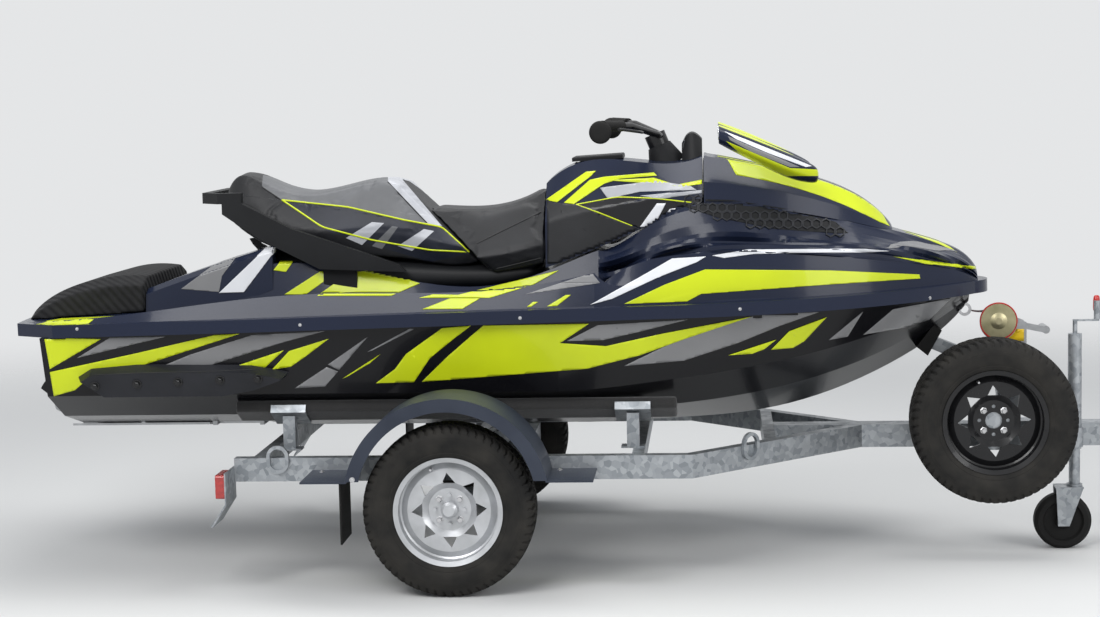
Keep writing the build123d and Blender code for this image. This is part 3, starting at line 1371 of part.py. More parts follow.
# Spare wheel, and the bracket that bolts it to the drawbar
spare_centre = (AXLE_X + SPARE_X, SPARE_IN_Y - TYRE_W / 2, SPARE_Z)
with BuildPart() as spare_tyre:
    tyre(spare_centre)
keep("spare_tyre", spare_tyre.part)
with BuildPart() as spare_rim:
    rim(spare_centre, -1)
keep("spare_rim", spare_rim.part)
with BuildPart() as spare_bracket:
    plate_y = spare_centre[1] - RIM_W / 2 + 58 + SEAT_GAP
    with BuildSketch(Plane(origin=(spare_centre[0], plate_y, SPARE_Z), z_dir=(0, 1, 0))):
        Circle(BOLT_CIRCLE_R + 18)
    extrude(amount=6)
    with BuildSketch(Plane(origin=(spare_centre[0], plate_y, DRAWBAR_TOP - DRAWBAR / 2 + 12), z_dir=(0, 1, 0))):
        Rectangle(60, 50)
    extrude(amount=-DRAWBAR / 2 - SEAT_GAP - plate_y)
keep("spare_bracket", spare_bracket.part)

# Jack on the drawbar: clamp and outer tube, sliding inner tube, fork and jockey wheel
with BuildPart() as jack_tube:
    with BuildSketch(Plane(origin=(AXLE_X + JACK_X, JACK_Y, JACK_LOW))):
        Circle(JACK_R)
    extrude(amount=JACK_TOP - JACK_LOW)
    with BuildSketch(Plane(origin=(AXLE_X + JACK_X, JACK_Y, DRAWBAR_TOP - DRAWBAR / 2 - 35))):
        with Locations((0, (-DRAWBAR / 2 - JACK_Y) / 2 - SEAT_GAP / 2)):
            Rectangle(50, -DRAWBAR / 2 - JACK_Y - SEAT_GAP)
        Circle(JACK_R + 6)
    extrude(amount=70)
    with BuildSketch(Plane(origin=(AXLE_X + JACK_X, JACK_Y, JACK_LOW))):
        Circle(JACK_BORE_R)
    extrude(amount=JACK_TOP - JACK_LOW - 8, mode=Mode.SUBTRACT)
    # Crank on top
    with BuildSketch(Plane(origin=(AXLE_X + JACK_X, JACK_Y, JACK_TOP))):
        Circle(8)
    extrude(amount=50)
    with BuildSketch(Plane(origin=(AXLE_X + JACK_X, JACK_Y, JACK_TOP + 44))):
        with Locations((38, 0)):
            Rectangle(90, 16)
    extrude(amount=6)
    with BuildSketch(Plane(origin=(AXLE_X + JACK_X + 76, JACK_Y, JACK_TOP + 50))):
        Circle(11)
    extrude(amount=66)
keep("jack_tube", jack_tube.part)

with BuildPart() as jack_inner:
    with BuildSketch(Plane(origin=(AXLE_X + JACK_X, JACK_Y, JACK_INNER_LOW))):
        Circle(JACK_INNER_R)
    extrude(amount=JACK_INNER_L)
keep("jack_inner", jack_inner.part)

with BuildPart() as jockey_fork:
    fork_top = JACK_INNER_LOW - SEAT_GAP
    fork_half = JOCKEY_W / 2 + RUN_GAP
    with BuildSketch(Plane(origin=(AXLE_X + JACK_X, JACK_Y, fork_top))):
        Circle(JACK_INNER_R + 8)
    extrude(amount=-8)
    with BuildSketch(Plane(origin=(AXLE_X + JACK_X, JACK_Y, fork_top - 8))):
        with Locations((-JOCKEY_TRAIL / 2, 0)):
            Rectangle(96, 2 * (fork_half + 5))
    extrude(amount=-5)
    for side in (1, -1):
        start_y = JACK_Y + (fork_half if side > 0 else -fork_half - 5)
        with BuildSketch(along(start_y)):
            draw_closed([
                (JACK_X - JOCKEY_TRAIL / 2 - 48, fork_top - 8),
                (JACK_X - JOCKEY_TRAIL / 2 + 48, fork_top - 8),
                (JACK_X - JOCKEY_TRAIL + 20, JOCKEY_R - 16),
                (JACK_X - JOCKEY_TRAIL - 20, JOCKEY_R - 16),
            ])
        extrude(amount=-5)
    with BuildSketch(along(JACK_Y - fork_half - 8)):
        with Locations((JACK_X - JOCKEY_TRAIL, JOCKEY_R)):
            Circle(8)
    extrude(amount=-2 * fork_half - 16)
keep("jockey_fork", jockey_fork.part)

with BuildPart() as jockey_wheel:
    wheel_ring((AXLE_X + JACK_X - JOCKEY_TRAIL, JACK_Y, JOCKEY_R), [
        (-JOCKEY_W / 2, 8 + SEAT_GAP),
        (-JOCKEY_W / 2, 24),
        (-16, 30),
        (-16, 66),
        (-JOCKEY_W / 2, 72),
        (-JOCKEY_W / 2, JOCKEY_R - 12),
        (-16, JOCKEY_R),
        (16, JOCKEY_R),
        (JOCKEY_W / 2, JOCKEY_R - 12),
        (JOCKEY_W / 2, 72),
        (16, 66),
        (16, 30),
        (JOCKEY_W / 2, 24),
        (JOCKEY_W / 2, 8 + SEAT_GAP),
    ])
keep("jockey_wheel", jockey_wheel.part)

# Coupling head on the end of the drawbar
with BuildPart() as coupling:
    end_x = DRAWBAR_FRONT
    mid_z = DRAWBAR_TOP - DRAWBAR / 2
    with BuildSketch(across(end_x - 90)):
        with Locations((0, mid_z)):
            Rectangle(DRAWBAR - 2 * TUBE_WALL - 2 * SEAT_GAP, DRAWBAR - 2 * TUBE_WALL - 2 * SEAT_GAP)
    extrude(amount=90)
    with BuildSketch(across(end_x)):
        with Locations((0, mid_z)):
            Rectangle(72, 66)
    with BuildSketch(across(end_x + COUPLING_L - 60)):
        with Locations((0, mid_z + 6)):
            Rectangle(76, 70)
    loft()
    ball_x = end_x + COUPLING_L - 50
    with BuildSketch(Plane(origin=(AXLE_X + ball_x, 0, mid_z - 30))):
        Circle(50)
    extrude(amount=70)
    with BuildSketch(Plane(origin=(AXLE_X + ball_x, 0, mid_z - 30))):
        Circle(BALL_R + 1)
    extrude(amount=40, mode=Mode.SUBTRACT)
    with BuildSketch(along(-14)):
        draw_closed([
            (end_x + 40, mid_z + 30),
            (end_x + 180, mid_z + 36),
            (end_x + 190, mid_z + 60),
            (end_x + 60, mid_z + 80),
            (end_x - 40, mid_z + 92),
            (end_x - 44, mid_z + 80),
            (end_x + 50, mid_z + 62),
        ])
    extrude(amount=-28)
keep("coupling", coupling.part)

for piece in pieces:
    export_step(piece, "parts/" + piece.label + ".step")
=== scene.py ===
import math

import bmesh
import bpy
from mathutils import Matrix, Vector
from mathutils.bvhtree import BVHTree
from mathutils.geometry import tessellate_polygon


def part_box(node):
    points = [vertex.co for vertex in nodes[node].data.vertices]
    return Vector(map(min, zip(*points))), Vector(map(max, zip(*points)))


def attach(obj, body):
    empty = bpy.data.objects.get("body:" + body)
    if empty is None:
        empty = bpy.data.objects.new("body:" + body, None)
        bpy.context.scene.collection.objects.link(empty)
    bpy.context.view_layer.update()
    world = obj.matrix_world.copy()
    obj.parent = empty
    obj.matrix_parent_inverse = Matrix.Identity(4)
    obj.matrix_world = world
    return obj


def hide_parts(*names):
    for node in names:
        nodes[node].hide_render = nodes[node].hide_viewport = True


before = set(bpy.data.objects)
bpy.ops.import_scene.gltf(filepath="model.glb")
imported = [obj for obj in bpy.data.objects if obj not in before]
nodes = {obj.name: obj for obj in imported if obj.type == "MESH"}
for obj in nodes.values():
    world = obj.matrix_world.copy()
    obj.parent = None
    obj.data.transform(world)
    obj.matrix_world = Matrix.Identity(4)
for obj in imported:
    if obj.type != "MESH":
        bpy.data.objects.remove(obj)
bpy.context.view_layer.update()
scene = bpy.context.scene

# Stations are metres forward of the trailer's axle, which lies here in the row frame.
AXLE = -0.536
ROOT = "craft_and_trailer"
HOOD = "hood_cover"
BAR = "steering_bar"
# What is laid on the side in the photograph is repeated, mirrored, on the port side.
MIRRORED = (1.0, -1.0)
SIDES = (-1.0, 1.0)

# Camera, solved from the photograph
IMAGE_W = 1100
IMAGE_H = 617
FOCAL_PX = 2078.0
SENSOR = 36.0
CAMERA_AT = Vector((AXLE + 0.888, -7.5, 1.651))
YAW = math.radians(-4.59)
PITCH = math.radians(-5.91)
ROLL = math.radians(-1.25)

LOOK = Vector((math.sin(YAW) * math.cos(PITCH), math.cos(YAW) * math.cos(PITCH), math.sin(PITCH)))
LEVEL_RIGHT = Vector((math.cos(YAW), -math.sin(YAW), 0.0))
LEVEL_UP = LEVEL_RIGHT.cross(LOOK)
RIGHT = LEVEL_RIGHT * math.cos(ROLL) + LEVEL_UP * math.sin(ROLL)
UP = LEVEL_UP * math.cos(ROLL) - LEVEL_RIGHT * math.sin(ROLL)


def placed(name, data):
    """Object of some data, linked to the scene."""
    made = bpy.data.objects.new(name, data)
    scene.collection.objects.link(made)
    return made


camera_data = bpy.data.cameras.new("camera")
camera = placed("camera", camera_data)
scene.camera = camera
camera_data.sensor_width = SENSOR
camera_data.lens = SENSOR * FOCAL_PX / IMAGE_W
camera_data.clip_end = 100.0
aim = Matrix((RIGHT, UP, -LOOK)).transposed()
camera.matrix_world = Matrix.Translation(CAMERA_AT) @ aim.to_4x4()


def pixel_ray(x, y):
    """Direction from the camera through a pixel of the photograph."""
    across = (x - IMAGE_W / 2) / FOCAL_PX
    down = (y - IMAGE_H / 2) / FOCAL_PX
    return (LOOK + RIGHT * across - UP * down).normalized()


def pixel_of(point):
    """Pixel of the photograph that a point falls on."""
    gap = point - CAMERA_AT
    deep = gap.dot(LOOK)
    return IMAGE_W / 2 + FOCAL_PX * gap.dot(RIGHT) / deep, IMAGE_H / 2 - FOCAL_PX * gap.dot(UP) / deep


def at_pixel(x, y, across):
    """Point on a pixel's ray at a distance across the craft."""
    way = pixel_ray(x, y)
    return CAMERA_AT + way * ((across - CAMERA_AT.y) / way.y)


# Materials
NOISE = "ShaderNodeTexNoise"
CELLS = "ShaderNodeTexVoronoi"
SHADER = "Principled BSDF"


def new_material(name, base, roughness, metallic=0.0, coat=0.0, sheen=0.0, gloss=0.5):
    """Principled material with its even values set on the shader's own sockets."""
    made = bpy.data.materials.new(name)
    made.use_nodes = True
    even = {"Base Color": (*base, 1.0), "Roughness": roughness, "Metallic": metallic, "Coat Weight": coat,
            "Coat Roughness": 0.06, "Specular IOR Level": gloss}
    if sheen:
        even |= {"Sheen Weight": sheen, "Sheen Roughness": 0.5}
    for key, value in even.items():
        made.node_tree.nodes[SHADER].inputs[key].default_value = value
    return made


def add_node(made, kind, **values):
    """Add a node and set its named inputs."""
    node = made.node_tree.nodes.new(kind)
    for key, value in values.items():
        node.inputs[key.replace("_", " ")].default_value = value
    return node


def coordinates(made):
    """Object coordinates, shared by a material's textures."""
    found = made.node_tree.nodes.get("Texture Coordinate")
    found = found or made.node_tree.nodes.new("ShaderNodeTexCoord")
    return found.outputs["Object"]


def add_texture(made, kind, **values):
    """Texture in object coordinates."""
    texture = add_node(made, kind, **values)
    made.node_tree.links.new(coordinates(made), texture.inputs["Vector"])
    return texture


def colour_ramp(made, factor, dark, light):
    """Base colour from a ramp between two colours."""
    tree = made.node_tree
    ramp = tree.nodes.new("ShaderNodeValToRGB")
    ramp.color_ramp.elements[0].color = (*dark, 1.0)
    ramp.color_ramp.elements[1].color = (*light, 1.0)
    tree.links.new(factor, ramp.inputs["Fac"])
    tree.links.new(ramp.outputs["Color"], tree.nodes[SHADER].inputs["Base Color"])
    return ramp.color_ramp


def varied(name, dark, light, roughness, scale, detail=4.0, contrast=(0.3, 0.7), **even):
    """Material whose base colour wanders between two colours."""
    made = new_material(name, light, roughness, **even)
    noise = add_texture(made, NOISE, Scale=scale, Detail=detail)
    ramp = colour_ramp(made, noise.outputs["Fac"], dark, light)
    ramp.elements[0].position = contrast[0]
    ramp.elements[1].position = contrast[1]
    return made


def vary_roughness(made, low, high, scale):
    """Roughness that wanders between two values."""
    tree = made.node_tree
    noise = add_texture(made, NOISE, Scale=scale, Detail=5.0)
    spread = add_node(made, "ShaderNodeMapRange", From_Min=0.3, From_Max=0.7, To_Min=low, To_Max=high)
    tree.links.new(noise.outputs["Fac"], spread.inputs["Value"])
    tree.links.new(spread.outputs["Result"], tree.nodes[SHADER].inputs["Roughness"])


def add_relief(made, height, distance, strength=1.0):
    """Bump from a height, stacked on any relief already there."""
    tree = made.node_tree
    normal = tree.nodes[SHADER].inputs["Normal"]
    relief = add_node(made, "ShaderNodeBump", Distance=distance, Strength=strength)
    tree.links.new(height, relief.inputs["Height"])
    if normal.links:
        tree.links.new(normal.links[0].from_socket, relief.inputs["Normal"])
    tree.links.new(relief.outputs["Normal"], normal)


def add_bump(made, kind, scale, distance, strength):
    """Relief from a noise or cell texture."""
    texture = add_texture(made, kind, Scale=scale)
    add_relief(made, texture.outputs["Fac" if kind == NOISE else "Distance"], distance, strength)


def polished(name, base, low, high, scale, **even):
    """Material of one colour whose gloss wanders."""
    made = new_material(name, base, low, **even)
    vary_roughness(made, low, high, scale)
    return made


def gelcoat(name, dark, light):
    """Polished gelcoat with a fine metal flake and a faint orange peel."""
    made = varied(name, dark, light, 0.24, 900.0, 2.0, (0.35, 0.65), coat=0.14, gloss=0.2)
    add_bump(made, NOISE, 140.0, 0.0002, 0.35)
    return made


def moulded(name, dark, light, roughness=0.5):
    """Moulded plastic with a fine grain."""
    made = varied(name, dark, light, roughness, 6.0, 6.0, gloss=0.22)
    add_bump(made, CELLS, 900.0, 0.0003, 0.5)
    return made


def film(name, base):
    """Printed vinyl film under a clear coat; the white film is also laid as painted highlights."""
    dark = tuple(c * 0.9 for c in base)
    light = tuple(min(1.0, c * 1.05) for c in base)
    made = varied(name, dark, light, 0.28, 4.0, coat=0.2, gloss=0.25)
    add_bump(made, NOISE, 90.0, 0.0002, 0.25)
    return made


def seat_vinyl(name, dark, light, roughness, coat=0.0, gloss=0.35):
    """Seat vinyl with a pebbled grain."""
    made = varied(name, dark, light, roughness, 9.0, 6.0, coat=coat, gloss=gloss)
    add_bump(made, CELLS, 520.0, 0.0006, 0.55)
    return made


def ribbed_foam(name, dark, light):
    """Deck foam with a rough face and diagonal ribs."""
    made = varied(name, dark, light, 0.8, 30.0, gloss=0.3)
    add_bump(made, NOISE, 700.0, 0.0006, 0.6)
    ribs = add_texture(made, "ShaderNodeTexWave", Scale=16.0)
    ribs.bands_direction = "DIAGONAL"
    ribs.wave_profile = "SIN"
    add_relief(made, ribs.outputs["Fac"], 0.003)
    return made


def hot_dip_zinc(name, dark, light):
    """Galvanised steel with cells of spangle in a range of greys."""
    made = new_material(name, light, 0.45, metallic=0.75)
    spangle = add_texture(made, CELLS, Scale=55.0)
    shade = made.node_tree.nodes.new("ShaderNodeSeparateColor")
    made.node_tree.links.new(spangle.outputs["Color"], shade.inputs["Color"])
    colour_ramp(made, shade.outputs["Red"], dark, light)
    vary_roughness(made, 0.35, 0.6, 14.0)
    add_bump(made, NOISE, 60.0, 0.0006, 0.35)
    return made


navy = gelcoat("navy_gelcoat", (0.008, 0.012, 0.028), (0.015, 0.021, 0.046))
black_gel = gelcoat("black_gelcoat", (0.003, 0.003, 0.004), (0.007, 0.007, 0.009))
black_plastic = moulded("black_plastic", (0.006, 0.0065, 0.0075), (0.011, 0.0115, 0.013))
sponson_plastic = moulded("sponson_plastic", (0.014, 0.015, 0.018), (0.024, 0.025, 0.030), 0.42)
fender_plastic = moulded("fender_plastic", (0.028, 0.034, 0.050), (0.042, 0.050, 0.070), 0.38)
vent_ribs = moulded("vent_ribs", (0.020, 0.021, 0.024), (0.034, 0.035, 0.040), 0.38)
rubber = moulded("black_rubber", (0.006, 0.006, 0.006), (0.013, 0.0125, 0.012), 0.72)

lime_film = film("lime_film", (0.62, 0.72, 0.012))
grey_film = film("grey_film", (0.22, 0.22, 0.225))
white_film = film("white_film", (0.80, 0.81, 0.84))
black_film = film("black_film", (0.010, 0.010, 0.012))
silver_film = film("silver_film", (0.42, 0.43, 0.45))
yellow_film = film("yellow_film", (0.75, 0.50, 0.02))

black_vinyl = seat_vinyl("seat_vinyl", (0.008, 0.0085, 0.010), (0.014, 0.0145, 0.017), 0.46)
grey_vinyl = seat_vinyl("grey_seat_vinyl", (0.115, 0.118, 0.124), (0.15, 0.153, 0.16), 0.5)
white_vinyl = seat_vinyl("white_seat_vinyl", (0.40, 0.41, 0.44), (0.50, 0.51, 0.54), 0.45, 0.1, 0.5)
navy_vinyl = seat_vinyl("navy_seat_vinyl", (0.007, 0.009, 0.017), (0.013, 0.016, 0.028), 0.42)
seam = varied("seam_thread", (0.005, 0.005, 0.006), (0.014, 0.014, 0.016), 0.6, 500.0)
mat_foam = ribbed_foam("mat_foam", (0.006, 0.006, 0.007), (0.013, 0.013, 0.014))
carpet = varied("bunk_carpet", (0.006, 0.006, 0.006), (0.026, 0.025, 0.025), 0.95, 420.0, sheen=0.35)
add_bump(carpet, NOISE, 480.0, 0.003, 0.9)
webbing = varied("winch_strap_webbing", (0.07, 0.008, 0.010), (0.13, 0.018, 0.020), 0.85, 400.0, sheen=0.3)

galvanised = hot_dip_zinc("galvanised_steel", (0.24, 0.26, 0.28), (0.42, 0.44, 0.46))
steel = polished("stainless_steel", (0.56, 0.56, 0.57), 0.2, 0.36, 40.0, metallic=1.0)
cast = varied("cast_aluminium", (0.34, 0.35, 0.36), (0.46, 0.47, 0.48), 0.42, 25.0, metallic=0.9)
add_bump(cast, NOISE, 300.0, 0.0006, 0.5)
black_metal = polished("black_metal", (0.008, 0.008, 0.009), 0.24, 0.42, 30.0, coat=0.2, gloss=0.3)
silver_paint = varied("silver_wheel_paint", (0.40, 0.41, 0.42), (0.56, 0.57, 0.59), 0.36, 12.0, metallic=0.55,
                      coat=0.3)
add_bump(silver_paint, NOISE, 220.0, 0.0003, 0.3)
yellow_zinc = varied("yellow_zinc", (0.30, 0.28, 0.16), (0.50, 0.45, 0.28), 0.38, 18.0, metallic=0.8)
red_paint = varied("red_paint", (0.40, 0.010, 0.008), (0.55, 0.02, 0.014), 0.35, 30.0, coat=0.2)
tyre_rubber = varied("tyre_rubber", (0.008, 0.008, 0.008), (0.026, 0.024, 0.021), 0.78, 14.0, 8.0, gloss=0.25)
add_bump(tyre_rubber, NOISE, 500.0, 0.0004, 0.4)

red_lens = varied("red_lens", (0.34, 0.008, 0.006), (0.50, 0.02, 0.015), 0.14, 60.0, coat=1.0)
add_bump(red_lens, CELLS, 160.0, 0.002, 0.5)
mirror_face = polished("mirror_glass", (0.75, 0.77, 0.80), 0.02, 0.05, 20.0, metallic=1.0)
gauge_glass = polished("gauge_glass", (0.006, 0.008, 0.012), 0.05, 0.12, 30.0, coat=1.0)

# Every CAD node that isn't named here is galvanised steel of the trailer.
FINISH = {
    navy: ["deck", "rub_rail", "hood", "console", "rear_cover"],
    black_gel: ["hull"],
    black_plastic: ["mirrors", "front_bin", "grab_handle", "tow_hook", "glovebox_lid", "dash",
                    "reverse_bucket", "steering_neck"],
    sponson_plastic: ["sponsons"],
    fender_plastic: ["fenders"],
    rubber: ["grips", "mudflaps", "bow_stop", "jockey_wheel"],
    black_vinyl: ["seat_rear", "seat_front"],
    mat_foam: ["stern_mat"],
    carpet: ["bunks"],
    steel: ["bow_eye", "stern_eyes", "impeller"],
    cast: ["ride_plate", "intake_grate", "jet_pump", "steering_nozzle", "winch"],
    black_metal: ["handlebar", "spare_rim", "coupling"],
    silver_paint: ["rim_starboard", "rim_port"],
    tyre_rubber: ["tyre_starboard", "tyre_port", "spare_tyre"],
    red_lens: ["tail_lamps"],
}
finish_of = {name: material for material, names in FINISH.items() for name in names}
for name, node in nodes.items():
    node.data.materials.clear()
    node.data.materials.append(finish_of.get(name, galvanised))


# Shared helpers for pieces
def solid_of(*names):
    """Ray-casting tree over some CAD nodes, with the node that each face belongs to."""
    corners = []
    faces = []
    owners = []
    for name in names:
        mesh = nodes[name].data
        start = len(corners)
        corners += [v.co.copy() for v in mesh.vertices]
        faces += [[start + i for i in face.vertices] for face in mesh.polygons]
        owners += [name] * len(mesh.polygons)
    return BVHTree.FromPolygons(corners, faces), owners


def link(name, made, body, *materials, smooth=True):
    """Object from a finished bmesh, riding on a body."""
    mesh = bpy.data.meshes.new(name)
    bmesh.ops.recalc_face_normals(made, faces=made.faces[:])
    made.to_mesh(mesh)
    made.free()
    piece = placed(name, mesh)
    if smooth:
        mesh.shade_smooth()
    for material in materials:
        mesh.materials.append(material)
    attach(piece, body)
    return piece


def thicken(piece, thickness, offset=-1.0):
    """Give a sheet its thickness."""
    wall = piece.modifiers.new("thick", "SOLIDIFY")
    wall.thickness = thickness
    wall.offset = offset


def subdivide(piece, levels):
    """Round a cage by subdivision."""
    rounder = piece.modifiers.new("round", "SUBSURF")
    rounder.levels = levels
    rounder.render_levels = levels


def skin(made, rings, closed=True, endless=False, capped=False):
    """Faces from ring to ring: closed rings run round, endless ones return to the first."""
    pairs = list(zip(rings, rings[1:]))
    if endless:
        pairs.append((rings[-1], rings[0]))
    for one, two in pairs:
        for i in range(len(one) if closed else len(one) - 1):
            j = (i + 1) % len(one)
            made.faces.new((one[i], one[j], two[j], two[i]))
    if capped:
        made.faces.new(rings[0][::-1])
        made.faces.new(rings[-1])


def flip(point, side):
    """Point or direction, mirrored to port where the side is negative."""
    return Vector((point.x, point.y * side, point.z))


def against(normal, way):
    """Normal turned to face a ray."""
    return -normal if normal.dot(way) > 0 else normal


def inside(outline, x, y):
    """Whether a point lies inside an outline."""
    odd = False
    for (ax, ay), (bx, by) in zip(outline, outline[1:] + outline[:1]):
        if (ay > y) != (by > y) and x < (bx - ax) * (y - ay) / (by - ay) + ax:
            odd = not odd
    return odd


def hub_of(node):
    """Centre of a wheel's node."""
    low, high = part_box(node)
    return (Vector(low) + Vector(high)) / 2


# Livery and painted highlights: thin films cut to outlines and laid on the CAD solids
outside, outside_owner = solid_of("hull", "deck", "rub_rail", "hood", "console", "dash", "rear_cover",
                                  "seat_front", "seat_rear", "winch", "stern_mat", "glovebox_lid")
FILM_GAP = 0.0002
FILM_LIFT = 0.0010
FILM_T = 0.0008
FILM_STEP = 3.0
# A face of a film that leans from its surface by more than this cosine, or is longer than this, spans a step.
BRIDGE_COSINE = 0.42
BRIDGE_LENGTH = 0.26
ABOVE = 3.0
BEHIND = -4.0


def cut_flat(outline, step):
    """Outline as a flat mesh cut into a grid."""
    flat = bmesh.new()
    rim = [flat.verts.new((x, y, 0.0)) for x, y in outline]
    for corners in tessellate_polygon([[v.co for v in rim]]):
        flat.faces.new([rim[i] for i in corners])
    for axis in (0, 1):
        low = min(point[axis] for point in outline)
        high = max(point[axis] for point in outline)
        for i in range(1, int((high - low) / step) + 1):
            cut = [0.0, 0.0, 0.0]
            cut[axis] = low + i * step
            normal = [0.0, 0.0, 0.0]
            normal[axis] = 1.0
            everything = flat.verts[:] + flat.edges[:] + flat.faces[:]
            bmesh.ops.bisect_plane(flat, geom=everything, plane_co=cut, plane_no=normal)
    return flat


def ray_of(view, a, b):
    """Start and direction of the ray that carries an outline's point onto the craft.

    The photo view takes pixels, the top view stations and distances to starboard in millimetres, and the
    rear view distances to starboard and heights in millimetres."""
    if view == "photo":
        return CAMERA_AT, pixel_ray(a, b)
    if view == "top":
        return Vector((a / 1000 + AXLE, -b / 1000, ABOVE)), Vector((0.0, 0.0, -1.0))
    return Vector((BEHIND, -a / 1000, b / 1000)), Vector((1.0, 0.0, 0.0))


def livery(name, body, colour, names, shapes, layer=1, step=FILM_STEP, thick=FILM_T, view="photo"):
    """Films cut to outlines in a view, laid on CAD nodes and mirrored to port."""
    made = bmesh.new()
    for outline in shapes:
        flat = cut_flat(outline, step)
        missed = []
        facing = {}
        for vert in flat.verts:
            start, way = ray_of(view, vert.co.x, vert.co.y)
            place, normal, face, _ = outside.ray_cast(start, way)
            if place is None or outside_owner[face] not in names:
                missed.append(vert)
                continue
            facing[vert] = against(normal, way)
            vert.co = place + facing[vert] * (FILM_LIFT * (layer - 1) + thick + FILM_GAP)
        bmesh.ops.delete(flat, geom=missed, context="VERTS")
        bridges = []
        for face in flat.faces:
            face.normal_update()
            mean = sum((facing[v] for v in face.verts), Vector())
            leaning = abs(face.normal.dot(mean.normalized())) < BRIDGE_COSINE
            if leaning or max(edge.calc_length() for edge in face.edges) > BRIDGE_LENGTH:
                bridges.append(face)
        bmesh.ops.delete(flat, geom=bridges, context="FACES")
        for side in MIRRORED:
            copies = {v: made.verts.new(flip(v.co, side)) for v in flat.verts}
            for face in flat.faces:
                corners = [copies[v] for v in face.verts]
                made.faces.new(corners if side > 0 else corners[::-1])
        flat.free()
    piece = link(name, made, body, colour)
    thicken(piece, thick)
    return piece


# Outlines of the films on the side, in pixels of the photograph
HULL_GREY = [
    [(77, 358), (110, 337.5), (166, 336.5)],
    [(153, 370), (189, 355), (252, 335), (325, 331), (282, 342.5), (203, 367.5)],
    [(295, 388), (326.7, 367), (338, 371.5), (325, 386.5)],
    [(328, 364.5), (367.5, 337), (339, 370)],
    [(367, 352), (410, 328.5), (414, 329), (372, 350.5)],
    [(567, 341), (598, 325), (688, 319.5), (638, 332), (603, 340)],
    [(624, 366), (688, 335), (758, 314.5), (819, 312), (779, 326), (739, 342.5), (684, 360.5)],
    [(828.5, 340), (863, 311.5), (847.5, 336.5)],
    [(863, 334.5), (893, 309), (951, 298), (929, 319.5), (905, 327)],
]
HULL_LIME = [
    [(44, 336), (66, 338), (101, 339), (50, 369)],
    [(50, 372), (137, 353), (214, 335), (240, 333.5), (194, 348.5), (134, 368), (95, 373), (75, 390),
     (54, 396)],
    [(233, 367), (284, 350), (265, 367.5)],
    [(272, 369.5), (289, 351), (329, 338.5), (306, 356), (291, 366.5)],
    [(342.5, 378.5), (380.5, 354), (370, 363), (348, 376)],
    [(376, 383), (395, 369), (406, 354), (442, 328), (471, 325.5), (452, 340), (430, 358), (414, 382)],
    [(422, 381.5), (448, 356), (483, 325.5), (589, 323.5), (560, 343), (606, 346), (660, 334), (751, 316.5),
     (684, 339), (640, 355), (587, 368.5), (450, 379.5)],
    [(728.5, 355), (776, 339.5), (764, 349), (752, 353.5)],
    [(771, 349.5), (789, 331), (826.5, 317), (804, 341), (793, 347.5)],
]
DECK_GREY = [
    [(525, 294.5), (560, 283), (592, 273), (600, 283)],
    [(181, 289), (234, 250), (240, 252), (222, 276), (219, 292)],
]
DECK_LIME = [
    [(273.5, 270.3), (284.4, 256.3), (297, 256.3), (286, 272)],
    [(284.5, 294.5), (320, 271.5), (337, 272), (306, 294.5)],
    [(317, 296), (350, 272.5), (377, 270), (420, 283.5), (391, 296)],
    [(419, 298), (433, 294.5), (458, 295), (559, 270.5), (534, 284.5), (490, 298)],
    [(422, 309.5), (450, 298.5), (480, 298.5), (462.5, 309)],
    [(527, 307), (533, 302), (538, 302), (531, 307)],
    [(547, 306.5), (566, 295), (571, 295), (557, 306)],
    [(624, 304), (664, 285), (705, 269.5), (830, 270.5), (919, 274.5), (920, 278.5), (822, 285), (701, 294),
     (687, 301.5)],
    [(893, 256.5), (924, 260.5), (984, 267.5), (984, 270), (924, 263.5)],
]
DECK_WHITE = [
    [(590, 305), (640, 277), (672, 258.5), (706, 256.5), (697, 262), (659, 277), (612, 299)],
    [(219, 293), (265.6, 248.4), (278, 247), (259, 272), (244, 292)],
]
CONSOLE_BLACK = [[(576, 204.8), (618, 197), (657, 198), (702, 203), (702, 222), (660, 230), (645, 230)]]
SEAT_FLANK = [[(540, 264), (540, 194), (552, 203), (576, 205), (640, 229), (612, 250), (575, 262)]]
CONSOLE_GREY = [
    [(600, 188), (655, 181), (690, 186), (697, 190), (640, 192), (608, 199)],
    [(640, 196), (702, 190), (702, 193), (660, 199)],
]
CONSOLE_LIME = [
    [(546, 200), (586, 172), (596, 171), (590, 177), (557, 202.5)],
    [(564, 203), (590, 180), (604, 177), (654, 172.7), (657, 175.8), (620, 179), (604, 184), (574, 204.3)],
    [(607, 180.5), (654, 178), (671, 183.5), (640, 183)],
    [(672, 186), (702, 180), (702, 184), (684, 187)],
]
CONSOLE_WHITE = [
    [(640, 227), (657, 203.3), (666, 203.3), (654, 226)],
    [(658, 224), (670, 209), (682, 207), (674, 222)],
]
# Painted highlight: a thin white film along the deck just below its crest, where the shoulder catches the
# light.
CREST_HIGHLIGHT = [
    [(712, 255.5), (748, 249.5), (807, 249), (865, 248.8), (890, 251), (860, 252.6), (804, 252.5), (753, 254),
     (724, 258)],
]
WINCH_STICKER = [[(1006, 329), (1024, 329), (1024, 341), (1006, 341)]]
VENT_EDGE = [(668, 201), (694, 199), (732, 200), (786, 208.7), (835.5, 222), (848, 233), (838, 233.5),
             (774.6, 229), (717, 217.5)]

